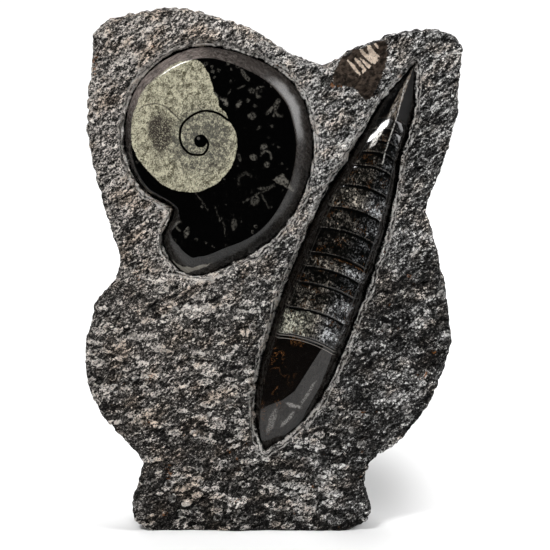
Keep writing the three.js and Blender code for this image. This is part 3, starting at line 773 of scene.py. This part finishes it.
class Recipe:
    """Builds one material's nodes."""

    def __init__(self, name):
        self.material = bpy.data.materials.new(name)
        self.material.use_nodes = True
        self.tree = self.material.node_tree
        self.tree.nodes.clear()
        self.output = self.tree.nodes.new("ShaderNodeOutputMaterial")
        coordinates = self.add("ShaderNodeTexCoord").outputs
        self.place, self.normal = coordinates["Object"], coordinates["Normal"]

    def add(self, kind, inputs=None, **settings):
        node = self.tree.nodes.new(kind)
        for key, value in settings.items():
            setattr(node, key, value)
        for key, value in (inputs or {}).items():
            if isinstance(value, bpy.types.NodeSocket):
                self.tree.links.new(value, node.inputs[key])
            else:
                node.inputs[key].default_value = value
        return node

    def mark(self, name):
        """A number that is stored on the mesh."""
        return self.add("ShaderNodeAttribute", attribute_name=name).outputs["Fac"]

    def math(self, operation, first, second=0.5, third=0.5):
        inputs = {0: first, 1: second, 2: third}
        return self.add("ShaderNodeMath", inputs, operation=operation).outputs[0]

    def times(self, first, *others):
        """The product of values."""
        for other in others:
            first = self.math("MULTIPLY", first, other)
        return first

    def larger(self, first, second):
        return self.math("MAXIMUM", first, second)

    def rest_of(self, share):
        return self.math("SUBTRACT", 1.0, share)

    def vector(self, operation, first, second=(0, 0, 0)):
        """Arithmetic on two vectors, or on a vector and a number for SCALE."""
        key = "Scale" if operation == "SCALE" else 1
        return self.add("ShaderNodeVectorMath", {0: first, key: second}, operation=operation).outputs[0]

    def ease(self, value, low, high, to_low=0.0, to_high=1.0):
        inputs = {"Value": value, "From Min": low, "From Max": high, "To Min": to_low, "To Max": to_high}
        return self.add("ShaderNodeMapRange", inputs, interpolation_type="SMOOTHSTEP").outputs[0]

    def warped(self, size_mm, amount_mm, vector=None):
        """Coordinates that wander by an amount, for ragged edges."""
        vector = vector or self.place
        inputs = {"Vector": vector, "Scale": 1 / (size_mm * MM), "Detail": 3.0, "Roughness": 0.65}
        noise = self.add("ShaderNodeTexNoise", inputs).outputs["Color"]
        centred = self.vector("SUBTRACT", noise, (0.5, 0.5, 0.5))
        return self.vector("ADD", vector, self.vector("SCALE", centred, 2 * amount_mm * MM))

    def turned(self, turn, stretch, vector=None):
        """Coordinates that make a texture longer along a direction, in degrees from +X to +Z."""
        inputs = {"Vector": vector or self.place, "Rotation": (0, -math.radians(turn), 0),
                  "Scale": (stretch, 1, 1)}
        return self.add("ShaderNodeMapping", inputs, vector_type="TEXTURE").outputs[0]

    def through(self, vector, across=1.0, turn=0.0):
        """Coordinates that hardly change into the stone, so that cells are cut to the same shape anywhere."""
        inputs = {"Vector": vector, "Rotation": (0, turn, 0), "Scale": (across, 0.04, 1)}
        return self.add("ShaderNodeMapping", inputs).outputs[0]

    def noise(self, size_mm, detail=3.0, roughness=0.6, vector=None, warp=0.0):
        inputs = {"Vector": vector or self.place, "Scale": 1 / (size_mm * MM), "Detail": detail,
                  "Roughness": roughness, "Distortion": warp}
        return self.add("ShaderNodeTexNoise", inputs).outputs["Fac"]

    def lit(self, size_mm, turn, stretch, place, light_mm):
        """How much higher fine relief is here than a little nearer the light, to shade it in the colour."""
        toward = self.vector("ADD", place, (light_mm[0] * MM, 0, light_mm[1] * MM))
        here, there = (self.noise(size_mm, detail=4, roughness=0.6, vector=self.turned(turn, stretch, at))
                       for at in (place, toward))
        return self.math("SUBTRACT", here, there)

    def band(self, value, middle, half_width):
        """1 where a value is at the middle, falling to 0 at half a width from it."""
        away = self.math("ABSOLUTE", self.math("SUBTRACT", value, middle))
        return self.ease(away, half_width, half_width * 0.3)

    def wires(self, size_mm, width, **settings):
        """Thin wandering lines, 1 along their middle."""
        level = self.math("SUBTRACT", self.noise(size_mm, **settings), 0.5)
        return self.ease(self.math("ABSOLUTE", level), width, 0.0)

    def cells(self, size_mm, vector=None, feature="F1"):
        inputs = {"Vector": vector or self.place, "Scale": 1 / (size_mm * MM)}
        return self.add("ShaderNodeTexVoronoi", inputs, feature=feature).outputs

    def weigh(self, *pairs):
        """The sum of values, each times its weight."""
        total = None
        for value, weight in pairs:
            share = self.times(value, weight)
            total = share if total is None else self.math("ADD", total, share)
        return total

    def grey(self, value):
        """A colour whose three channels are one value."""
        return self.add("ShaderNodeCombineColor", {0: value, 1: value, 2: value}).outputs[0]

    def blend(self, factor, first, second, kind="MIX"):
        node = self.add("ShaderNodeMix", data_type="RGBA", blend_type=kind)
        for socket, value in zip((node.inputs[0], node.inputs[6], node.inputs[7]), (factor, first, second)):
            if isinstance(value, bpy.types.NodeSocket):
                self.tree.links.new(value, socket)
            elif isinstance(value, tuple):
                socket.default_value = (*value, 1)
            else:
                socket.default_value = value
        return node.outputs[2]

    def tilted(self, *pairs):
        """The surface's normal, tilted at random for each cell by the cells' colours, each by an amount."""
        normal = self.normal
        for colour, amount in pairs:
            centred = self.vector("SUBTRACT", colour, (0.5, 0.5, 0.5))
            normal = self.vector("ADD", normal, self.vector("SCALE", centred, 2 * amount))
        return self.vector("NORMALIZE", normal)

    def finish(self, colour, roughness, bump=None, bump_mm=0.1, normal=None, specular=0.5):
        inputs = {"Base Color": colour, "Roughness": roughness, "Specular IOR Level": specular}
        if bump is not None:
            bump_inputs = {"Height": bump, "Distance": bump_mm * MM, "Strength": 1.0}
            if normal is not None:
                bump_inputs["Normal"] = normal
            inputs["Normal"] = self.add("ShaderNodeBump", bump_inputs).outputs[0]
        shader = self.add("ShaderNodeBsdfPrincipled", inputs)
        self.tree.links.new(shader.outputs[0], self.output.inputs["Surface"])
        return self.material


# Painted shade in cracks and in the gaps by the fossils' rims.
CREVICE_SHADE = (0.002, 0.0019, 0.0018)
COLD_STONE = (1.0, 0.985, 0.96)
WARM_STONE = (1.0, 0.84, 0.7)
# Crushed pale stone, and the painted highlight near the orthoceras' point.
CRUSHED_STONE_AND_HIGHLIGHT = (0.7, 0.675, 0.64)
CREAM_STONE = (0.75, 0.62, 0.5)
RUST = (0.32, 0.12, 0.03)
PATCH_BROWN = (0.075, 0.055, 0.042)
PATCH_DARK = (0.016, 0.012, 0.009)
# The natural logarithm of the stone's lightness before its marks, grit and grain are added.
STONE_LEVEL = -8.8


def slab_material():
    recipe = Recipe("chiselled_limestone")
    split = recipe.add("ShaderNodeSeparateXYZ", {0: recipe.place}).outputs
    ragged = recipe.warped(2.0, 0.9)
    strokes = recipe.turned(30, 1.5, ragged)
    crushed_and_lit, rim = recipe.mark("crushed_and_lit"), recipe.mark("rim_distance")

    # The broken stone: flat plates, chips, grit and grain, each with its own lightness.
    plates = recipe.cells(4.6, strokes)["Color"]
    chips = recipe.cells(2.1, recipe.turned(20, 1.4, recipe.warped(1.5, 0.8)))
    grit = recipe.cells(1.1, recipe.warped(0.8, 0.3))["Color"]
    grain = recipe.noise(1.2, detail=2, roughness=0.7)
    flecks = recipe.noise(2.4, detail=4, roughness=0.65, vector=strokes)
    low = recipe.ease(split["Z"], 0.19, 0.14)
    upper = recipe.rest_of(low)

    # Long pale places of crushed stone, sharp at their edges, low on the slab.
    crush = recipe.cells(4.3, recipe.through(recipe.warped(3.0, 2.6), across=0.4, turn=0.2))
    density = recipe.noise(26, detail=1)
    crush_edge = recipe.weigh((crush["Distance"], 1.0), (crush["Color"], -0.5), (density, -1.2),
                              (flecks, -0.5), (1.0, 0.83))
    islands = recipe.weigh((recipe.ease(crush_edge, 0.04, -0.04), 0.75),
                           (recipe.band(crush_edge, -0.02, 0.1), 0.5))

    # Relief too fine for the mesh, shaded in the colour, with its creases, threads and hollows.
    lit = recipe.lit(3.6, 36, 1.6, ragged, (-0.5, 0.6))
    fine_lit = recipe.lit(2.0, 36, 1.2, ragged, (-0.35, 0.45))
    creases = recipe.wires(2.4, 0.09, detail=4, roughness=0.65, vector=recipe.turned(-40, 1.4, ragged))
    threads = recipe.wires(6.0, 0.022, detail=5, roughness=0.62, vector=strokes)
    hollows = recipe.ease(recipe.noise(7.5, detail=4, roughness=0.6, vector=strokes), 0.46, 0.36)

    # The stone is lighter at the upper left, partly painted light falling from there, and darker on the
    # right, in patches and higher up.
    upper_left = recipe.ease(recipe.weigh((split["Z"], 1.0), (split["X"], -0.5)), 0.04, 0.33)
    right = recipe.ease(split["X"], 0.01, 0.07)
    dark_right_patches = recipe.times(recipe.ease(recipe.noise(12, detail=3), 0.52, 0.42), right)
    island_share = recipe.times(islands, low, recipe.weigh((right, -0.3), (1.0, 1.0)))
    # Partly painted light in the level: lighter towards the top and the upper left, darker towards the foot,
    # and lighter near the fossils' rims, where the trough lies in shade.
    level = recipe.weigh((island_share, 2.9), (dark_right_patches, -1.0),
                         (recipe.times(upper, right), -0.35),
                         (lit, recipe.weigh((upper, 9.0), (1.0, 8.0))), (fine_lit, 13.0),
                         (flecks, 4.0), (plates, 0.8), (chips["Color"], 1.2), (grit, 1.6),
                         (grain, 3.0), (creases, -1.9), (threads, 1.3), (hollows, -1.5), (crushed_and_lit, 0.6),
                         (upper_left, 0.7), (recipe.ease(split["Z"], 0.06, 0.0), -0.7), (upper, 0.85),
                         (recipe.ease(rim, 8.0, 4.0), 0.5), (recipe.mark("painted_light_and_breaks"), 1.0),
                         (recipe.noise(42, detail=1), 2.0), (1.0, STONE_LEVEL))
    lightness = recipe.math("MINIMUM", recipe.math("EXPONENT", level), 0.8)
    warm = recipe.weigh((recipe.ease(recipe.noise(14, detail=5, vector=strokes), 0.46, 0.64), 0.6),
                        (recipe.ease(split["X"], 0.06, -0.07), 0.4))
    tint = recipe.blend(warm, COLD_STONE, WARM_STONE)
    colour = recipe.blend(1.0, tint, recipe.grey(lightness), "MULTIPLY")

    # Round sections through small fossils, pale at their rims.
    discs = recipe.cells(12.0, recipe.through(recipe.warped(2.5, 1.0)))
    disc_radius = recipe.weigh((discs["Color"], 0.28), (1.0, -0.02))
    from_rim = recipe.math("SUBTRACT", discs["Distance"], disc_radius)
    disc = recipe.larger(recipe.band(from_rim, 0.0, 0.05), recipe.ease(from_rim, 0.0, -0.05, 0.0, 0.3))
    chosen = recipe.times(recipe.ease(discs["Color"], 0.62, 0.66), recipe.ease(split["Z"], 0.19, 0.16))
    disc = recipe.times(disc, chosen, recipe.ease(flecks, 0.44, 0.56, 0.0, 0.7))
    colour = recipe.blend(disc, colour, CRUSHED_STONE_AND_HIGHLIGHT)

    # Painted shade in the cracks between the plates.
    cracks = recipe.ease(recipe.cells(4.6, strokes, "DISTANCE_TO_EDGE")["Distance"], 0.07, 0.0)
    cracks = recipe.times(cracks, recipe.ease(recipe.noise(5, detail=3), 0.42, 0.56))
    colour = recipe.blend(recipe.times(cracks, 0.9), colour, CREVICE_SHADE)
    rust = recipe.times(recipe.ease(recipe.noise(15, detail=6, roughness=0.72), 0.63, 0.68),
                        recipe.ease(grit, 0.4, 0.55))
    colour = recipe.blend(recipe.times(rust, 0.7), colour, RUST)

    # Pale tool lines that follow the fossils' rims, and painted shade in the gaps between them and at the
    # rims.
    wander = recipe.weigh((rim, 1.0), (recipe.math("SUBTRACT", recipe.noise(14, detail=3), 0.5), 6.0))
    lines = recipe.larger(recipe.band(wander, 1.6, 0.7), recipe.times(recipe.band(wander, 3.6, 0.6), 0.7))
    lines = recipe.times(lines, recipe.ease(recipe.noise(4.5, detail=4, roughness=0.7), 0.4, 0.54))
    colour = recipe.blend(recipe.times(lines, 0.9), colour, CRUSHED_STONE_AND_HIGHLIGHT)
    gap_shade = recipe.larger(recipe.times(recipe.band(wander, 2.6, 0.4), 0.7), recipe.band(rim, 0.1, 0.5))
    colour = recipe.blend(recipe.times(gap_shade, 0.85), colour, CREVICE_SHADE)

    # The brown patch and its scrapes.
    bare = recipe.times(recipe.math("SUBTRACT", grain, 0.5), 3.0)
    patch = recipe.ease(recipe.weigh((recipe.mark("patch"), 1.0), (bare, 1.0)), -0.3, 0.3)
    scraped = recipe.ease(recipe.weigh((recipe.mark("scraped"), 1.0), (bare, 0.6)), -0.15, 0.25)
    patch_colour = recipe.blend(recipe.ease(flecks, 0.42, 0.58), PATCH_DARK, PATCH_BROWN)
    colour = recipe.blend(patch, colour, patch_colour)
    scrape_colour = recipe.blend(recipe.ease(grain, 0.3, 0.48, 0.35, 1.0), PATCH_BROWN, CREAM_STONE)
    colour = recipe.blend(scraped, colour, scrape_colour)

    bump = recipe.weigh((chips["Distance"], -0.45), (chips["Color"], 0.4), (grit, 0.3), (grain, 0.5),
                        (flecks, 1.2), (islands, 0.25), (creases, -0.4), (cracks, -0.6), (lines, 0.5))
    normal = recipe.tilted((plates, 0.4), (chips["Color"], 0.6))
    return recipe.finish(colour, 0.8, bump, bump_mm=1.3, normal=normal, specular=0.06)


# Black stone, and painted shade on the orthoceras' steep side near its point.
BLACK_STONE_AND_SHADE = (0.0003, 0.0003, 0.0003)
CALCITE = (0.175, 0.165, 0.122)
PALE_CALCITE = (0.43, 0.41, 0.3)
OLIVE_CALCITE = (0.045, 0.04, 0.022)
GREY_CALCITE = (0.058, 0.056, 0.049)
BIT_COLOUR = (0.17, 0.16, 0.138)
SMUDGE_COLOUR = (0.026, 0.021, 0.018)
SHOULDER_SHEEN = (0.15, 0.125, 0.115)
BROWN_TINT = (1.0, 0.9, 0.76)
GREY_TINT = (0.96, 0.98, 1.0)
GREENISH_TINT = (1.0, 0.98, 0.8)
ORANGE_VEIN = (0.16, 0.07, 0.022)
JOINT_HIGHLIGHT = (0.28, 0.26, 0.235)
BODY_BLACK = (0.0018, 0.0013, 0.001)
BAND_BROWN = (0.007, 0.0058, 0.0048)
FACET_GREY = (0.018, 0.0162, 0.0145)
TIP_BROWN = (0.16, 0.135, 0.11)
TIP_GREY = (0.02, 0.02, 0.02)
# How the chambers' mixed noise becomes lightness: its middle, the contrast round it, the lightness there
# and the lightest of all.
CHAMBER_MIDDLE = 1.735
CHAMBER_CONTRAST = 11.0
CHAMBER_LIGHTNESS = 0.011
CHAMBER_LIGHTEST = 0.42
# How far along the shell the orange vein crosses it.
VEIN_ALONG = 131.0


def calcite_colour(recipe, calcite):
    """Pale crystals with olive seams between them, greyer where the coil narrows."""
    grain = recipe.noise(0.9, detail=3, roughness=0.7)
    crystal = recipe.cells(2.3, recipe.warped(1.6, 1.0))
    seams = recipe.wires(3.2, 0.035, detail=5, roughness=0.7, warp=0.8)
    fibres = recipe.noise(0.8, detail=3, roughness=0.65, vector=recipe.turned(70, 3.0, recipe.warped(6, 4.0)))
    tone = recipe.weigh((crystal["Color"], 0.2), (grain, 0.5), (fibres, 0.6),
                        (recipe.noise(5, detail=4), 0.2))
    colour = recipe.blend(recipe.ease(tone, 0.6, 0.74), OLIVE_CALCITE, CALCITE)
    colour = recipe.blend(recipe.ease(tone, 0.7, 0.86), colour, PALE_CALCITE)
    colour = recipe.blend(recipe.times(seams, 0.6), colour, OLIVE_CALCITE)
    edge = recipe.times(recipe.ease(calcite, 3.5, 0.5), recipe.ease(grain, 0.4, 0.6))
    colour = recipe.blend(recipe.times(edge, 0.55), colour, PALE_CALCITE)
    inner = recipe.times(recipe.ease(recipe.mark("umbilicus"), 26.0, 14.0), 0.95)
    colour = recipe.blend(recipe.times(inner, recipe.ease(tone, 1.0, 0.6)), colour, GREY_CALCITE)
    between = recipe.ease(recipe.weigh((grain, 1.0), (seams, -0.3)), 0.6, 0.47, 0.3, 1.0)
    smudge = recipe.times(recipe.mark("smudge"), between)
    colour = recipe.blend(smudge, colour, SMUDGE_COLOUR)
    septum = recipe.times(recipe.ease(recipe.mark("septum"), 0.7, 0.2), 0.75)
    colour = recipe.blend(septum, colour, SMUDGE_COLOUR)
    colour = recipe.blend(recipe.ease(recipe.mark("coil"), 1.0, 0.5), colour, BLACK_STONE_AND_SHADE)
    umbilicus = recipe.ease(recipe.mark("umbilicus"), UMBILICUS_RADIUS + 0.3, UMBILICUS_RADIUS - 0.3)
    colour = recipe.blend(umbilicus, colour, BLACK_STONE_AND_SHADE)
    return recipe.blend(recipe.ease(recipe.mark("umbilicus_dot"), 1.3, 0.6), colour, GREY_CALCITE)


def goniatite_material():
    recipe = Recipe("polished_goniatite")
    calcite = recipe.mark("calcite")
    grain = recipe.noise(0.9, detail=3, roughness=0.7)
    broken = recipe.ease(recipe.noise(1.3, detail=4, roughness=0.75), 0.42, 0.58, 0.08, 0.8)
    bits = recipe.mark("bits")
    bits = recipe.times(bits, recipe.larger(broken, recipe.ease(bits, 0.9, 1.2)))
    hazy = recipe.ease(recipe.noise(22, detail=2), 0.4, 0.65)
    specks = recipe.noise(1.6, detail=6, roughness=0.8)
    dust = recipe.times(recipe.ease(specks, 0.6, 0.78, 0.0, 0.35), hazy)
    crumbs = recipe.cells(3.6, recipe.warped(2.0, 1.2))
    crumb = recipe.times(recipe.band(crumbs["Distance"], 0.32, 0.12),
                         recipe.ease(crumbs["Color"], 0.7, 0.74))
    crumb = recipe.times(crumb, broken, recipe.times(hazy, 0.35))
    ground = recipe.blend(recipe.larger(recipe.larger(bits, crumb), dust), BLACK_STONE_AND_SHADE, BIT_COLOUR)
    edge = recipe.weigh((calcite, 1.0), (recipe.math("SUBTRACT", grain, 0.5), 1.6))
    in_shell = recipe.ease(edge, -0.2, 0.25)
    outside_shell = recipe.rest_of(in_shell)
    colour = recipe.blend(in_shell, ground, calcite_colour(recipe, calcite))
    slope = recipe.ease(recipe.mark("step"), 1.04, 0.98)
    scuffs = recipe.noise(1.8, detail=5, roughness=0.7, vector=recipe.turned(-50, 2.5))
    worn = recipe.times(slope, recipe.ease(scuffs, 0.35, 0.7))
    # Scuffs on the shoulder, with more of them where the painted sheen lies.
    worn_share = recipe.times(worn, recipe.weigh((recipe.mark("ground"), 0.25), (1.0, 0.06)))
    colour = recipe.blend(worn_share, colour, BIT_COLOUR)
    # The painted sheen on the shoulder, in streaks along its rim.
    along_rim = recipe.ease(recipe.noise(1.6, detail=3, vector=recipe.turned(38, 5.0)), 0.35, 0.6, 0.35, 1.0)
    sheen_share = recipe.times(recipe.mark("ground"), slope, along_rim, outside_shell)
    colour = recipe.blend(sheen_share, colour, SHOULDER_SHEEN)
    roughness = recipe.weigh((slope, 0.17), (worn, 0.06), (1.0, 0.07))
    return recipe.finish(colour, roughness, specular=0.4)


def orthoceras_material():
    recipe = Recipe("polished_orthoceras")
    along, side = recipe.mark("along"), recipe.mark("side")
    past_seam, tone = recipe.mark("past_seam"), recipe.mark("tone")
    axis_turn = math.degrees(math.atan2(ORTHOCERAS_AXIS[1], ORTHOCERAS_AXIS[0]))
    grain = recipe.noise(0.9, detail=3, roughness=0.7)
    crystals = recipe.cells(1.5, recipe.warped(1.0, 0.6))["Color"]
    streaks = recipe.noise(0.9, detail=3, vector=recipe.turned(axis_turn, 3.5))
    cloud = recipe.noise(6, detail=4, vector=recipe.turned(axis_turn - 90, 2.0))

    in_last = recipe.ease(along, SEAMS[0], SEAMS[0] - 0.5)
    level = recipe.weigh((grain, 1.0), (crystals, 0.35), (streaks, 0.6), (cloud, 0.9), (tone, 0.55),
                         (side, 0.07), (recipe.times(in_last, recipe.ease(side, 0.0, 0.7)), -0.16))
    level = recipe.times(recipe.math("SUBTRACT", level, CHAMBER_MIDDLE), CHAMBER_CONTRAST)
    lightness = recipe.times(recipe.math("EXPONENT", level), CHAMBER_LIGHTNESS)
    lightness = recipe.math("MINIMUM", lightness, CHAMBER_LIGHTEST)
    tint = recipe.blend(recipe.ease(side, -0.1, 0.4), BROWN_TINT, GREY_TINT)
    tint = recipe.blend(recipe.times(in_last, recipe.ease(side, 0.1, -0.3)), tint, GREENISH_TINT)
    chambers = recipe.blend(1.0, tint, recipe.grey(lightness), "MULTIPLY")
    veins = recipe.times(recipe.wires(9, 0.011, detail=4, roughness=0.7, warp=0.8),
                         recipe.ease(recipe.noise(11, detail=2), 0.5, 0.6))
    chambers = recipe.blend(recipe.times(veins, 0.5), chambers, ORANGE_VEIN)
    # Painted highlight along the lip of each seam.
    joint_highlight = recipe.times(recipe.band(past_seam, 1.05, 0.45),
                         recipe.ease(grain, 0.42, 0.62, 0.02, 0.2))
    chambers = recipe.blend(joint_highlight, chambers, JOINT_HIGHLIGHT)
    wavy = recipe.weigh((recipe.noise(3.0, detail=4, roughness=0.7), 6.0), (1.0, -3.0))
    vein_line = recipe.times(recipe.band(recipe.weigh((along, 1.0), (wavy, 1.0)), VEIN_ALONG, 0.8),
                             recipe.times(recipe.ease(grain, 0.38, 0.5), recipe.ease(side, -0.3, 0.2)))
    chambers = recipe.blend(recipe.times(vein_line, 0.8), chambers, ORANGE_VEIN)
    dark_seam = recipe.weigh((past_seam, 1.0), (wavy, 0.35))
    chambers = recipe.blend(recipe.band(dark_seam, -0.2, 1.3), chambers, BLACK_STONE_AND_SHADE)
    under = recipe.times(recipe.ease(past_seam, -4.5, -1.0), recipe.ease(past_seam, 0.0, -0.2))
    dim = recipe.times(under, recipe.ease(recipe.noise(4, detail=4), 0.4, 0.55, 0.2, 0.85))
    chambers = recipe.blend(dim, chambers, BLACK_STONE_AND_SHADE)

    specks = recipe.ease(recipe.noise(1.4, detail=5, roughness=0.8), 0.6, 0.7)
    past_crease = recipe.ease(recipe.mark("past_crease"), -0.2, 0.4)
    ground_stone = recipe.blend(recipe.ease(streaks, 0.42, 0.62), BAND_BROWN, FACET_GREY)
    body = recipe.blend(past_crease, BODY_BLACK, ground_stone)
    body = recipe.blend(recipe.times(specks, 0.12), body, BIT_COLOUR)
    body = recipe.blend(recipe.times(veins, recipe.ease(side, 0.1, -0.2)), body, ORANGE_VEIN)
    # Painted highlights along the edges of the step.
    step_highlights = recipe.larger(recipe.band(along, STEP_ALONG - 0.6, 0.35),
                               recipe.band(along, STEP_ALONG - 2.6, 0.3))
    body = recipe.blend(recipe.times(step_highlights, 0.5), body, JOINT_HIGHLIGHT)
    colour = recipe.blend(recipe.ease(along, STEP_ALONG - 0.3, STEP_ALONG + 0.5), body, chambers)
    left_of_ridge = recipe.ease(side, 0.12, 0.06)
    tip_brown = recipe.blend(recipe.ease(streaks, 0.42, 0.62), BAND_BROWN, TIP_BROWN)
    tip = recipe.blend(left_of_ridge, TIP_GREY, tip_brown)
    # Painted shade on the steep left side near the point.
    tip = recipe.blend(recipe.ease(side, -0.3, -0.45), tip, BLACK_STONE_AND_SHADE)
    colour = recipe.blend(recipe.ease(along, 222, 228), colour, tip)
    # Pale patches, and a painted highlight on the left facet near the point.
    pale_and_highlight = recipe.times(recipe.mark("pale_and_highlight"), recipe.ease(grain, 0.38, 0.58))
    colour = recipe.blend(pale_and_highlight, colour, CRUSHED_STONE_AND_HIGHLIGHT)
    band = recipe.band(recipe.math("ABSOLUTE", side), 1.0, 1.25 * (1 - BAND_START))
    colour = recipe.blend(band, colour, recipe.blend(recipe.ease(grain, 0.4, 0.75), BODY_BLACK, BAND_BROWN))
    thread = recipe.times(recipe.ease(recipe.mark("siphuncle"), 0.55, 0.2),
                          recipe.ease(grain, 0.4, 0.6, 0.05, 0.5))
    colour = recipe.blend(thread, colour, CRUSHED_STONE_AND_HIGHLIGHT)
    return recipe.finish(colour, 0.1, specular=0.4)


# The studio

PHOTO_MIDDLE = np.array([1.25, 0.0, 163.0])
CAMERA_DISTANCE = 1.4
CAMERA_ELEVATION = 6.0
VIEW_WIDTH = 0.34375
SENSOR = 36.0
FLOOR_WIDTH = 8.0
FLOOR_FRONT = -0.4
FLOOR_BACK = 4.0
FLOOR_COLOUR = (0.8, 0.8, 0.8)
# The soft shade on the floor to the right of the foot.
SHADE_COLOUR = (0.38, 0.38, 0.38)
SHADE_MIDDLE = (0.061, 0.116, 0.0)
SHADE_RADII = (0.05, 0.2, 1.0)


# Each softbox: a name, a place, what it points at, a width and a height, all in metres, a power in watts
# and a spread in degrees.
SOFTBOXES = [("key", (-0.5, -0.95, 1.0), (-0.02, 0, 0.22), 0.34, 0.34, 4.0, 80),
             ("side", (0.95, -0.25, 0.72), (0, 0, 0.2), 0.7, 0.9, 9, 130),
             ("back", (0.1, 1.4, 1.7), (0, 0.9, 0), 1.6, 1.6, 9, 120),
             ("far_floor", (0, 2.9, 2.6), (0, 2.9, 0), 6, 3.5, 130, 110)]


def aim(piece, target):
    direction = Vector(target) - piece.location
    piece.rotation_euler = direction.to_track_quat("-Z", "Y").to_euler()


def add_camera():
    target = Vector(to_frame(PHOTO_MIDDLE))
    elevation = math.radians(CAMERA_ELEVATION)
    data = bpy.data.cameras.new("camera")
    data.sensor_width = SENSOR
    data.lens = SENSOR * CAMERA_DISTANCE / VIEW_WIDTH
    camera = bpy.data.objects.new("camera", data)
    bpy.context.scene.collection.objects.link(camera)
    camera.location = target + CAMERA_DISTANCE * Vector((0, -math.cos(elevation), math.sin(elevation)))
    aim(camera, target)
    bpy.context.scene.camera = camera


def add_softbox(name, place, target, width, height, power, spread):
    data = bpy.data.lights.new(name, "AREA")
    data.shape = "RECTANGLE"
    data.size, data.size_y, data.energy = width, height, power
    data.spread = math.radians(spread)
    light = bpy.data.objects.new(name, data)
    bpy.context.scene.collection.objects.link(light)
    light.location = place
    aim(light, target)


def add_world():
    """Pale behind the slab and dim in front of it, so that the polished faces stay dark."""
    world = bpy.data.worlds.new("studio")
    bpy.context.scene.world = world
    world.use_nodes = True
    tree = world.node_tree
    background = tree.nodes["Background"]
    place = tree.nodes.new("ShaderNodeTexCoord")
    split = tree.nodes.new("ShaderNodeSeparateXYZ")
    rise = tree.nodes.new("ShaderNodeMapRange")
    tree.links.new(place.outputs["Generated"], split.inputs[0])
    tree.links.new(split.outputs["Y"], rise.inputs["Value"])
    rise.inputs["From Min"].default_value = 0.6
    rise.inputs["From Max"].default_value = 0.95
    rise.inputs["To Min"].default_value = 0.02
    rise.inputs["To Max"].default_value = 1.1
    tree.links.new(rise.outputs[0], background.inputs["Strength"])
    background.inputs["Color"].default_value = (1, 1, 1, 1)


def add_floor():
    """A pale table top that ends close in front of the slab, so that the polish doesn't reflect it."""
    deselect()
    bpy.ops.mesh.primitive_plane_add(size=1)
    floor = bpy.context.object
    floor.name = "floor"
    depth = FLOOR_BACK - FLOOR_FRONT
    move_vertices(floor, vertex_points(floor) * [FLOOR_WIDTH, depth, 1] + [0, FLOOR_FRONT + depth / 2, 0])
    recipe = Recipe("pale_floor")
    scaled = recipe.vector("DIVIDE", recipe.vector("SUBTRACT", recipe.place, SHADE_MIDDLE), SHADE_RADII)
    away = recipe.add("ShaderNodeVectorMath", {0: scaled}, operation="LENGTH").outputs["Value"]
    colour = recipe.blend(recipe.ease(away, 1.25, 0.1), FLOOR_COLOUR, SHADE_COLOUR)
    floor.data.materials.append(recipe.finish(colour, 0.9))


add_camera()
add_floor()
add_world()
for softbox in SOFTBOXES:
    add_softbox(*softbox)

goniatite = make_goniatite()
mark_goniatite(goniatite)
orthoceras = make_orthoceras()
mark_orthoceras(orthoceras)
slab = make_slab()

for piece, node, material in ((slab, "matrix", slab_material()),
                              (goniatite, "goniatite", goniatite_material()),
                              (orthoceras, "orthoceras", orthoceras_material())):
    piece.data.materials.clear()
    piece.data.materials.append(material)
    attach(piece, "root")
    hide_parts(node)

bpy.context.scene.view_settings.view_transform = "Standard"
